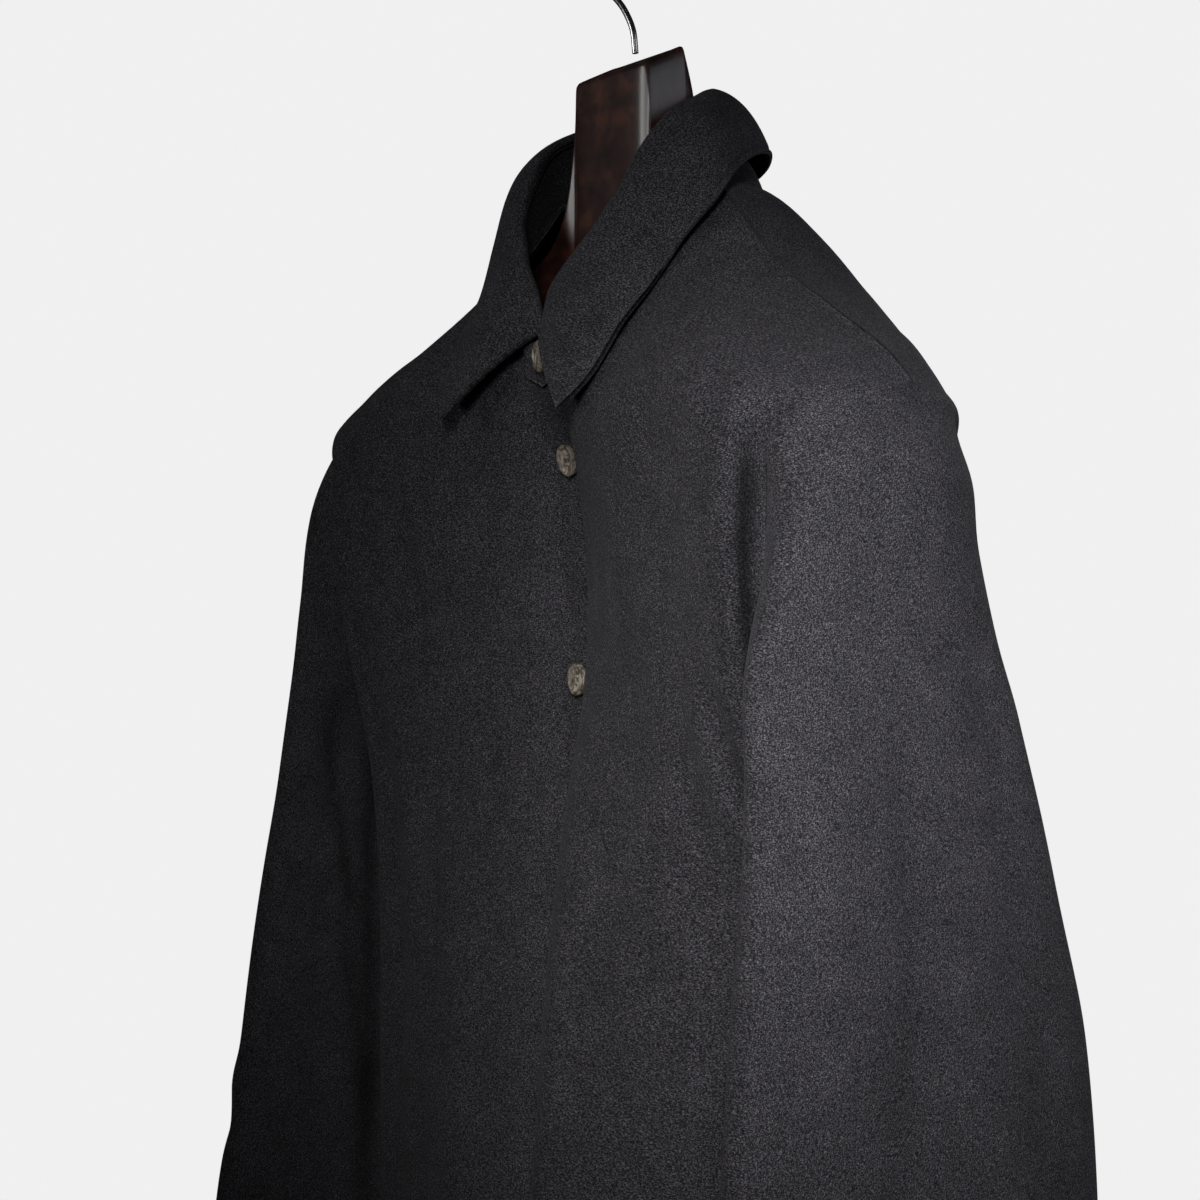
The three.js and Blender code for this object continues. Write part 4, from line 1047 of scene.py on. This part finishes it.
def collarStand():
    thick, gap = body["collarWall"], collar["seamGap"]
    roll, seam, down, out = collarStations(np.linspace(0, 1, stand["columns"]))
    top = roll + down * collar["standDrop"]
    foot = seam - down * stand["footClear"] - out * thick / 2
    count = stand["endColumns"]
    _, rollY, rollZ = collarRows[0]["roll"]
    footY = neckFrontRows[0]["y"] + thick / 2
    ends = []
    for sign, lift in ((1, 0), (-1, body["lapLift"])):
        x = sign * np.linspace(stand["end"], stand["meet"], count)
        topZ = rollZ - collar["standDrop"] - x * x * stand["curve"]
        endTop = np.stack([x, np.full(count, rollY - lift), topZ], -1)
        neckZ = curveAt(columnOf(neckFrontRows, "x"), columnOf(neckFrontRows, "z"), np.abs(x))
        endFoot = np.stack([x, np.full(count, footY - lift), neckZ + 2 * gap], -1)
        ends.append((endTop, endFoot, np.tile([0.0, -1, 0], (count, 1))))
    top = np.vstack([ends[0][0], top, ends[1][0][::-1]])
    foot = np.vstack([ends[0][1], foot, ends[1][1][::-1]])
    out = np.vstack([ends[0][2], out, ends[1][2]])
    share = np.linspace(0, 1, stand["rows"])[:, None, None]
    inner = mix(top[None], foot[None], share)
    outer = inner + out[None] * thick
    piece = shell("collarStand", outer, inner, lip=stand["lip"])
    finishCloth(piece, "collar_stand", wool)


def collarLeaf():
    thick, gap, drop = body["collarWall"], collar["seamGap"], collar["standDrop"]
    endShare = leaf["endShare"]
    near = np.linspace(0, endShare, leaf["endColumns"])
    u = np.linspace(endShare, 1 - endShare, leaf["columns"])[1:-1]
    u = np.concatenate([near, u, 1 - near[::-1]])
    roll, _, down, out = collarStations(u)
    edge = edgeCurve.at(u)
    place = lambda o, up: roll + out * o - down * up
    start = place(*leaf["start"])
    rises = columnOf(collarRows + collarRows[-2::-1], "rise")
    rise = curveAt(np.linspace(0, 1, len(rises)), rises, u)
    fuller = mix(*leaf["rightFuller"], smooth(*leaf["fullerFrom"], roll[:, 2]))
    rise = (rise * (1 + fuller * smooth(*leaf["fullerPast"], -roll[:, 0])))[:, None]
    bend = mix(start, edge, leaf["bendShare"]) + out * rise - down * leaf["bendDrop"]
    face = [place(o, up) for o, up in [(0, gap - drop), *leaf["faceTurn"]]]
    back = [place(thick + o, up) for o, up in [(0, gap - drop), *leaf["underTurn"]]]
    first, last, count = leaf["rows"]
    share = np.linspace(last, 1, leaf["edgeRows"])[1:]
    share = np.concatenate([np.linspace(first, last, count), share])
    along = wayAlong(edgeCurve, u)
    upward = np.stack([out[:, 0], out[:, 1], np.full(len(u), leaf["upward"])], -1)
    for t in share:
        p = (1 - t) ** 2 * start + 2 * t * (1 - t) * bend + t * t * edge
        tangent = 2 * (1 - t) * (bend - start) + 2 * t * (edge - bend)
        normal = unit(np.cross(along, tangent))
        normal *= np.where(np.sum(normal * upward, axis=1) < 0, -1, 1)[:, None]
        face.append(p)
        back.append(p - normal * thick)
    face, back = np.array(face), np.array(back)
    normal = unit(face - back)
    toEdge = edgeDistance(face, ["bottom", "left", "right"])
    onFall = smooth(*leafSwell["fall"], edgeDistance(face, ["top"]))
    groove = leafStitch["deep"] * bump(toEdge - leafStitch["in"], leafStitch["wide"])
    rim = leafStitch["rimHigh"] * bump(toEdge - leafStitch["rimIn"], leafStitch["rimWide"])
    swell = leafSwell["high"] * waves(face, leafSwell["size"], leafSwell["seed"])
    lift = (rim - groove) * onFall + swell * smooth(*leafSwell["calm"], toEdge) * onFall
    face = face + normal * lift[..., None]
    piece = shell("collarLeaf", face, back, lip=leaf["lip"])
    finishCloth(piece, "collar_leaf", wool)


collarStand()
collarLeaf()


# what the hard pieces share, most of it in edit mode
def deselect():
    if bpy.context.object and bpy.context.object.mode != "OBJECT":
        bpy.ops.object.mode_set(mode="OBJECT")
    bpy.ops.object.select_all(action="DESELECT")


def pick(kind, test):  # selects the vertices, or edges or faces by their middles, that pass
    bpy.ops.mesh.select_mode(type=kind)
    bpy.ops.mesh.select_all(action="DESELECT")
    mesh = bmesh.from_edit_mesh(bpy.context.object.data)
    middle = {
        "VERT": lambda v: v.co,
        "EDGE": lambda e: (e.verts[0].co + e.verts[1].co) / 2,
        "FACE": lambda f: f.calc_center_median(),
    }[kind]
    for element in {"VERT": mesh.verts, "EDGE": mesh.edges, "FACE": mesh.faces}[kind]:
        element.select = bool(test(middle(element) / mm))
    mesh.select_flush_mode()
    bmesh.update_edit_mesh(bpy.context.object.data)


def applied(piece, kind, **values):
    modifier = piece.modifiers.new(kind.lower(), kind)
    for key, value in values.items():
        setattr(modifier, key, value)
    bpy.ops.object.modifier_apply(modifier=modifier.name)


def joined(pieces, name):
    deselect()
    for piece in pieces:
        piece.select_set(True)
    bpy.context.view_layer.objects.active = pieces[0]
    bpy.ops.object.join()
    pieces[0].name = pieces[0].data.name = name
    return pieces[0]


def finishHard(piece, node):
    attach(piece, "root")
    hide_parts(node)
    print(piece.name, len(piece.data.polygons), "faces")


def tidied(piece, angle):  # doubles merged, normals out, sharp only past an angle
    bpy.ops.object.mode_set(mode="EDIT")
    bpy.ops.mesh.select_all(action="SELECT")
    bpy.ops.mesh.remove_doubles(threshold=0.00001)
    bpy.ops.mesh.normals_make_consistent(inside=False)
    bpy.ops.object.mode_set(mode="OBJECT")
    bpy.ops.object.transform_apply(location=True, rotation=True, scale=True)
    bpy.ops.object.shade_smooth_by_angle(angle=math.radians(angle))


buttonShape = {  # mottled horn, dished, with four holes, sewn on with pale thread
    "radius": 7.5,
    "height": 2.8,
    "rim": 1.5,
    "slope": 0.9,
    "dish": 0.9,
    "well": (2.2, 0.15),
    "round": (1.0, 0.5),
    "hole": 0.85,
    "spread": 1.6,
    "thread": 0.4,
    "rest": 0.5,
}
threadShape = {"apart": 0.3, "above": (0.35, 0.1), "into": ((0.15, -0.5), (0, -0.7))}
buttonPlaces = {"pitch": 102, "first": -248, "collar": (5, -201)}
hornLook = {
    "tones": [
        (0.38, (0.0405, 0.0351, 0.0284, 1)),
        (0.51, (0.1688, 0.1431, 0.1148, 1)),
        (0.64, (0.486, 0.4185, 0.3375, 1)),
    ],
    "drift": 160,
    "swirl": 1.2,
    "fibre": (900, 900, 240),
    "lean": (0, 0.5, 0),
    "rough": (0.22, 0.42),
    "worn": (0.25, 0.0002),
}
threadLook = {
    "tones": [(0.35, (0.10, 0.085, 0.066, 1)), (0.65, (0.34, 0.30, 0.245, 1))],
    "twist": (4200, 1500, 1500),
    "lean": (0.6, 0.4, 0.5),
    "rough": (0.7, 0.95),
    "ply": (0.7, 0.0002),
}


def hornMaterial():
    look = hornLook
    material, make, dress = newMaterial("darkHorn")
    place = make("TexCoord").outputs["Object"]
    drift = noiseOf(make, place, look["drift"], 3, Distortion=look["swirl"])
    fibre = noiseOf(make, stretched(make, place, look["fibre"], look["lean"]), 1, 2)
    blend = sumOf(make, drift, fibre)
    dress(
        BaseColor=toned(make, timesOf(make, blend, 0.5), look["tones"]),
        Roughness=between(make, drift, *look["rough"]),
        Normal=raised(make, blend, *look["worn"]),
    )
    return material


def threadMaterial():
    look = threadLook
    material, make, dress = newMaterial("paleThread")
    place = make("TexCoord").outputs["Object"]
    twist = noiseOf(make, stretched(make, place, look["twist"], look["lean"]), 1, 2)
    dress(
        BaseColor=toned(make, twist, look["tones"]),
        Roughness=between(make, twist, *look["rough"]),
        Normal=raised(make, twist, *look["ply"]),
    )
    return material


def makeButton():
    b = buttonShape
    wellIn, wellDown = b["well"]
    roundFoot, roundRim = b["round"]
    deselect()
    bpy.ops.mesh.primitive_cylinder_add(
        vertices=48,
        radius=b["radius"] * mm,
        depth=b["height"] * mm,
        location=(0, 0, b["height"] / 2 * mm),
    )
    button = bpy.context.object
    bpy.ops.object.transform_apply(location=True)
    bpy.ops.object.mode_set(mode="EDIT")
    pick("FACE", lambda p: p.z > b["height"] - 0.01)
    bpy.ops.mesh.inset(thickness=b["rim"] * mm)
    bpy.ops.mesh.inset(thickness=b["slope"] * mm)
    bpy.ops.transform.translate(value=(0, 0, -b["dish"] * mm))
    bpy.ops.mesh.inset(thickness=wellIn * mm)
    bpy.ops.transform.translate(value=(0, 0, -wellDown * mm))
    pick("EDGE", lambda p: p.z < 0.01 and math.hypot(p.x, p.y) > b["radius"] - 0.1)
    bpy.ops.mesh.bevel(offset=roundFoot * mm, segments=3)
    ring = b["radius"] - b["rim"]
    pick("EDGE", lambda p: p.z > b["height"] - 0.01 and math.hypot(p.x, p.y) > ring - 0.2)
    bpy.ops.mesh.bevel(offset=roundRim * mm, segments=3)
    bpy.ops.object.mode_set(mode="OBJECT")
    button.data.materials.append(horn)
    drills = []
    for x, y in ((1, 1), (1, -1), (-1, 1), (-1, -1)):
        bpy.ops.mesh.primitive_cylinder_add(
            vertices=20,
            radius=b["hole"] * mm,
            depth=12 * mm,
            location=(x * b["spread"] * mm, y * b["spread"] * mm, 0),
        )
        drills.append(bpy.context.object)
    drill = joined(drills, "drill")
    deselect()
    button.select_set(True)
    bpy.context.view_layer.objects.active = button
    applied(button, "BOOLEAN", object=drill, operation="DIFFERENCE", solver="EXACT")
    bpy.data.objects.remove(drill)
    tidied(button, 38)
    face = b["height"] - b["dish"] - wellDown
    strands = [threadStrand(y, lift, face) for y in (1, -1) for lift in (0, 1)]
    return joined([button, *strands], "buttonPattern")


def threadStrand(y, lift, face):  # from one hole over to the next, and down into both
    b, t = buttonShape, threadShape
    above, higher = t["above"]
    aside = y * b["spread"] + (t["apart"] - 2 * t["apart"] * lift)
    bpy.ops.mesh.primitive_cylinder_add(
        vertices=10,
        radius=b["thread"] * mm,
        depth=2 * b["spread"] * mm,
        rotation=(0, math.pi / 2, 0),
        location=(0, aside * mm, (face + above + higher * lift) * mm),
    )
    strand = bpy.context.object
    bpy.ops.object.transform_apply(location=True, rotation=True)
    bpy.ops.object.mode_set(mode="EDIT")
    for end in (1, -1):
        pick("FACE", lambda p: abs(p.x - end * b["spread"]) < 0.01)
        for out, down in t["into"]:
            bpy.ops.mesh.extrude_region_move(
                TRANSFORM_OT_translate={"value": (end * out * mm, 0, down * mm)}
            )
    bpy.ops.object.mode_set(mode="OBJECT")
    strand.data.materials.append(thread)
    applied(strand, "SUBSURF", levels=1, render_levels=1)
    tidied(strand, 180)
    return strand


def lapAt(z):  # how far forward the overlap's centre line is at a height, and how far it leans
    line = leftOuter[:, body["lapColumns"]]
    front = lambda h: float(np.interp(-h, -line[:, 2], line[:, 1]))
    return front(z), math.atan((front(z - 4) - front(z + 4)) / 8)


def placeButton(pattern, name, node, x, z, y, lean):
    deselect()
    pattern.select_set(True)
    bpy.context.view_layer.objects.active = pattern
    bpy.ops.object.duplicate(linked=False)
    button = bpy.context.object
    button.name = button.data.name = name
    button.rotation_euler = (math.pi / 2 + lean, 0, 0)
    button.location = (x * mm, (y - buttonShape["rest"]) * mm, z * mm)
    bpy.ops.object.transform_apply(location=True, rotation=True, scale=True)
    finishHard(button, node)


horn, thread = hornMaterial(), threadMaterial()
pattern = makeButton()
standFront = collarRows[0]["roll"][1] - body["lapLift"] - body["collarWall"]
placeButton(pattern, "buttonCollar", "button_collar", *buttonPlaces["collar"], standFront, 0)
for i in range(6):
    height = buttonPlaces["first"] - i * buttonPlaces["pitch"]
    placeButton(pattern, f"buttonFront{i + 1}", f"button_front_{i + 1}", 0, height, *lapAt(height))
bpy.data.objects.remove(pattern)
print("buttons made")


# lofted through its sections, thick neck to thin shoulder ends
hangerRows = [  # slant: how far the top falls towards the front; swell: how far the back bulges
    dict(x=0, top=-58.2, bottom=-150, front=-10, back=14.5, round=3, slant=11, swell=8),
    dict(x=19, top=-58.2, bottom=-152, front=-10, back=14.5, round=3, slant=11, swell=8),
    dict(x=25.5, top=-58.2, bottom=-153, front=-9.6, back=14.5, round=3, slant=11, swell=8),
    dict(x=29, top=-58.2, bottom=-154, front=-9, back=13.6, round=2.5, slant=10.5, swell=8),
    dict(x=32, top=-59.5, bottom=-155, front=-7.4, back=12.8, round=2.5, slant=9.5, swell=7),
    dict(x=33.2, top=-90, bottom=-156, front=-7, back=13, round=3, slant=2, swell=6),
    dict(x=36.5, top=-122, bottom=-157, front=-9, back=12.5, round=4, slant=0, swell=3),
    dict(x=45, top=-138, bottom=-164, front=-11, back=12, round=6, slant=0, swell=0),
    dict(x=60, top=-147, bottom=-173, front=-12, back=12, round=8, slant=0, swell=0),
    dict(x=85, top=-157.5, bottom=-187, front=-15, back=13, round=10, slant=0, swell=0),
    dict(x=120, top=-178.6, bottom=-206.6, front=-24, back=14, round=12, slant=0, swell=0),
    dict(x=160, top=-198.8, bottom=-226.4, front=-40, back=13, round=12, slant=0, swell=0),
    dict(x=195, top=-217, bottom=-243, front=-47, back=6, round=11.5, slant=0, swell=0),
    dict(x=210, top=-225.5, bottom=-248, front=-46, back=2, round=10.5, slant=0, swell=0),
]
hangerShape = {"bulge": (0.6, 1, 0.9), "endInsets": (3, 4)}
woodLook = {
    "tones": [
        (0.36, (0.015, 0.0068, 0.0056, 1)),
        (0.52, (0.042, 0.0150, 0.0112, 1)),
        (0.72, (0.13, 0.042, 0.021, 1)),
    ],
    "grain": (14, 260, 90),
    "pores": (160, 1900, 1500),
    "lean": (0, 0.35, 0),
    "waver": 0.6,
    "mottle": 90,
    "rough": (0.34, 0.5),
    "lacquer": (0.8, 0.3),
    "open": (0.12, 0.0003),
}


def woodMaterial():
    look = woodLook
    material, make, dress = newMaterial("lacqueredWood")
    place = make("TexCoord").outputs["Object"]
    along = stretched(make, place, look["grain"], look["lean"])
    grain = noiseOf(make, along, 1, 4, Distortion=look["waver"])
    pore = noiseOf(make, stretched(make, place, look["pores"], look["lean"]), 1, 2)
    mottle = noiseOf(make, place, look["mottle"], 4, Roughness=0.6)
    coat, coatRough = look["lacquer"]
    dress(
        BaseColor=toned(make, timesOf(make, sumOf(make, grain, mottle), 0.5), look["tones"]),
        Roughness=between(make, mottle, *look["rough"]),
        CoatWeight=coat,
        CoatRoughness=coatRough,
        Normal=raised(make, pore, *look["open"]),
    )
    return material


def hangerSection(row):
    tall, deep = row["top"] - row["bottom"], row["back"] - row["front"]
    middle = (row["x"], (row["back"] + row["front"]) / 2, (row["top"] + row["bottom"]) / 2)
    bpy.ops.mesh.primitive_plane_add(
        size=1, location=[v * mm for v in middle], rotation=(0, math.pi / 2, 0)
    )
    section = bpy.context.object
    section.scale = (tall * mm, deep * mm, 1)
    bpy.ops.object.transform_apply(location=True, rotation=True, scale=True)
    bpy.ops.object.mode_set(mode="EDIT")
    pick("VERT", lambda p: p.z > row["top"] - 0.1 and p.y < middle[1])
    bpy.ops.transform.translate(value=(0, 0, -row["slant"] * mm))
    bpy.ops.mesh.select_all(action="SELECT")
    bpy.ops.mesh.bevel(offset=row["round"] * mm, segments=4, affect="VERTICES", clamp_overlap=False)
    low, high = row["bottom"] + row["round"], row["top"] - row["round"]
    pick("EDGE", lambda p: p.y > row["back"] - 0.01 and abs(p.z - (low + high) / 2) < 0.5)
    bpy.ops.mesh.subdivide(number_cuts=len(hangerShape["bulge"]))
    for k, share in enumerate(hangerShape["bulge"]):
        z = mix(low, high, (k + 1) / 4)
        pick("VERT", lambda p: p.y > row["back"] - 0.01 and abs(p.z - z) < 0.3)
        bpy.ops.transform.translate(value=(0, row["swell"] * share * mm, 0))
    bpy.ops.mesh.select_mode(type="FACE")
    bpy.ops.mesh.select_all(action="SELECT")
    bpy.ops.mesh.delete(type="ONLY_FACE")
    bpy.ops.object.mode_set(mode="OBJECT")
    return section


def hangerWood():
    deselect()
    wood = joined([hangerSection(row) for row in hangerRows], "hangerWood")
    bpy.ops.object.mode_set(mode="EDIT")
    for one, two in zip(hangerRows[:-1], hangerRows[1:]):
        pick("VERT", lambda p: min(abs(p.x - one["x"]), abs(p.x - two["x"])) < 0.05)
        bpy.ops.mesh.select_mode(type="EDGE")
        bpy.ops.mesh.bridge_edge_loops()
    pick("VERT", lambda p: p.x > hangerRows[-1]["x"] - 0.05)
    bpy.ops.mesh.edge_face_add()
    for inset in hangerShape["endInsets"]:
        bpy.ops.mesh.inset(thickness=inset * mm)
    bpy.ops.object.mode_set(mode="OBJECT")
    applied(wood, "MIRROR", use_axis=(True, False, False), use_clip=True, merge_threshold=0.00005)
    applied(wood, "SUBSURF", levels=2, render_levels=2)
    tidied(wood, 180)
    wood.data.materials.append(woodMaterial())
    finishHard(wood, "hanger_wood")


hangerWood()


hookShape = {  # one bent wire with a rounded tip
    "wire": 3,
    "radius": 19,
    "seat": 1.3,
    "stem": [(5, 3, 0.4), (3.5, 2.5, 10), (-3, 1.5, 21), (-13, 0.4, 31)],  # above the wood's top
    "steps": 120,
    "tip": (0.35, 2.2),  # in steps, how the tip's rounding starts and ends
}
steelLook = {
    "drawn": 420,
    "tone": (0.52, 0.68),
    "rough": (0.16, 0.34),
    "scratch": (0.1, 0.0001),
}


def steelMaterial():
    look = steelLook
    material, make, dress = newMaterial("hookSteel")
    place = make("TexCoord").outputs["Object"]
    drawn = noiseOf(make, place, look["drawn"], 3)
    tone = between(make, drawn, *look["tone"], 0.3, 0.7)
    grey = make("CombineColor", {"Red": tone, "Green": tone, "Blue": tone}).outputs[0]
    dress(
        BaseColor=grey,
        Roughness=between(make, drawn, *look["rough"]),
        Metallic=1,
        Normal=raised(make, drawn, *look["scratch"]),
    )
    return material


def hangerHook():
    wire, radius = hookShape["wire"], hookShape["radius"]
    woodTop = hangerRows[0]["top"]
    stem = [(x, y, woodTop + up) for x, y, up in hookShape["stem"]]
    x, y, foot = stem[0]
    stem[0] = (x, y, foot - hookShape["seat"])
    angles = np.radians(np.arange(180, -31, -30))
    crown = wire / 2 - radius
    loop = [(radius * math.cos(a), 0, crown + radius * math.sin(a)) for a in angles]
    route = PlaceCurve(np.array(stem + loop, float)).at(np.linspace(0, 1, hookShape["steps"]))
    tipStart, tipEnd = hookShape["tip"]
    curve = bpy.data.curves.new("hangerHook", "CURVE")
    curve.dimensions = "3D"
    curve.bevel_depth = wire / 2 * mm
    curve.bevel_resolution = 6
    curve.use_fill_caps = True
    line = curve.splines.new("POLY")
    line.points.add(len(route) - 1)
    for point, place, left in zip(line.points, route, np.arange(len(route))[::-1]):
        point.co = (*(place * mm), 1)
        point.radius = math.sqrt(1 - max(0, 1 - (left + tipStart) / tipEnd) ** 2)
    hook = bpy.data.objects.new("hangerHook", curve)
    bpy.context.collection.objects.link(hook)
    deselect()
    hook.select_set(True)
    bpy.context.view_layer.objects.active = hook
    bpy.ops.object.convert(target="MESH")
    tidied(bpy.context.object, 60)
    hook = bpy.context.object
    hook.data.materials.append(steelMaterial())
    finishHard(hook, "hanger_hook")


hangerHook()

stageSetup = {
    "floorZ": -1.2,
    "floorSize": 2.4,
    "floor": (0.8, 0.8, 0.8, 1),
    "backdrop": (0.871, 0.871, 0.871, 1),
    "dim": ((0.9, 0.93, 1, 1), 0.009),  # what the world lends to the shadows
}
floorMaterial, _, dressFloor = newMaterial("paleFloor")
dressFloor(BaseColor=stageSetup["floor"], Roughness=0.8)
deselect()
floorPlace = (0, 0, stageSetup["floorZ"])
bpy.ops.mesh.primitive_plane_add(size=stageSetup["floorSize"], location=floorPlace)
floor = bpy.context.object
floor.name = "floor"
floor.data.materials.append(floorMaterial)
floor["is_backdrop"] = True

world = bpy.data.worlds.new("studio")
bpy.context.scene.world = world
world.use_nodes = True
nodes, links = world.node_tree.nodes, world.node_tree.links
nodes["Background"].inputs["Color"].default_value = stageSetup["backdrop"]
dim = nodes.new("ShaderNodeBackground")
dim.inputs["Color"].default_value, dim.inputs["Strength"].default_value = stageSetup["dim"]
path = nodes.new("ShaderNodeLightPath")
choose = nodes.new("ShaderNodeMixShader")
links.new(path.outputs["Is Camera Ray"], choose.inputs[0])
links.new(dim.outputs[0], choose.inputs[1])
links.new(nodes["Background"].outputs[0], choose.inputs[2])
links.new(choose.outputs[0], nodes["World Output"].inputs["Surface"])


white = (1, 1, 1)
lights = {
    "key": dict(at=(0.76, -0.54, -0.03), to=(0.25, -0.07, -0.33), size=0.3, power=0.7, spread=40),
    "strip": dict(at=(-0.45, -1.6, 0.3), to=(0, 0, -0.05), size=0.8, power=0.38, spread=35),
    "rim": dict(
        at=(1.5, 0.95, 0.25),
        to=(0, 0, -0.05),
        size=1.3,
        power=0.75,
        spread=70,
        colour=(0.84, 0.9, 1),
    ),
    "behind": dict(at=(-0.5, 1.6, -0.5), to=(0, 0, -0.5), size=0.8, power=0.45, spread=60),
}
for name, setup in lights.items():
    data = bpy.data.lights.new(name, "AREA")
    data.shape = "DISK"
    data.size = setup["size"]
    data.energy = setup["power"]
    data.spread = math.radians(setup["spread"])
    data.color = setup.get("colour", white)
    light = bpy.data.objects.new(name, data)
    bpy.context.collection.objects.link(light)
    light.location = setup["at"]
    aim = Vector(setup["to"]) - Vector(setup["at"])
    light.rotation_euler = aim.to_track_quat("-Z", "Y").to_euler()
print("floor and lights set")

bpy.context.scene.view_settings.view_transform = "Standard"

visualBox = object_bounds()
asLists = lambda box: [list(map(float, corner)) for corner in box]
{"cad": asLists(cadBox), "visual": asLists(visualBox)}
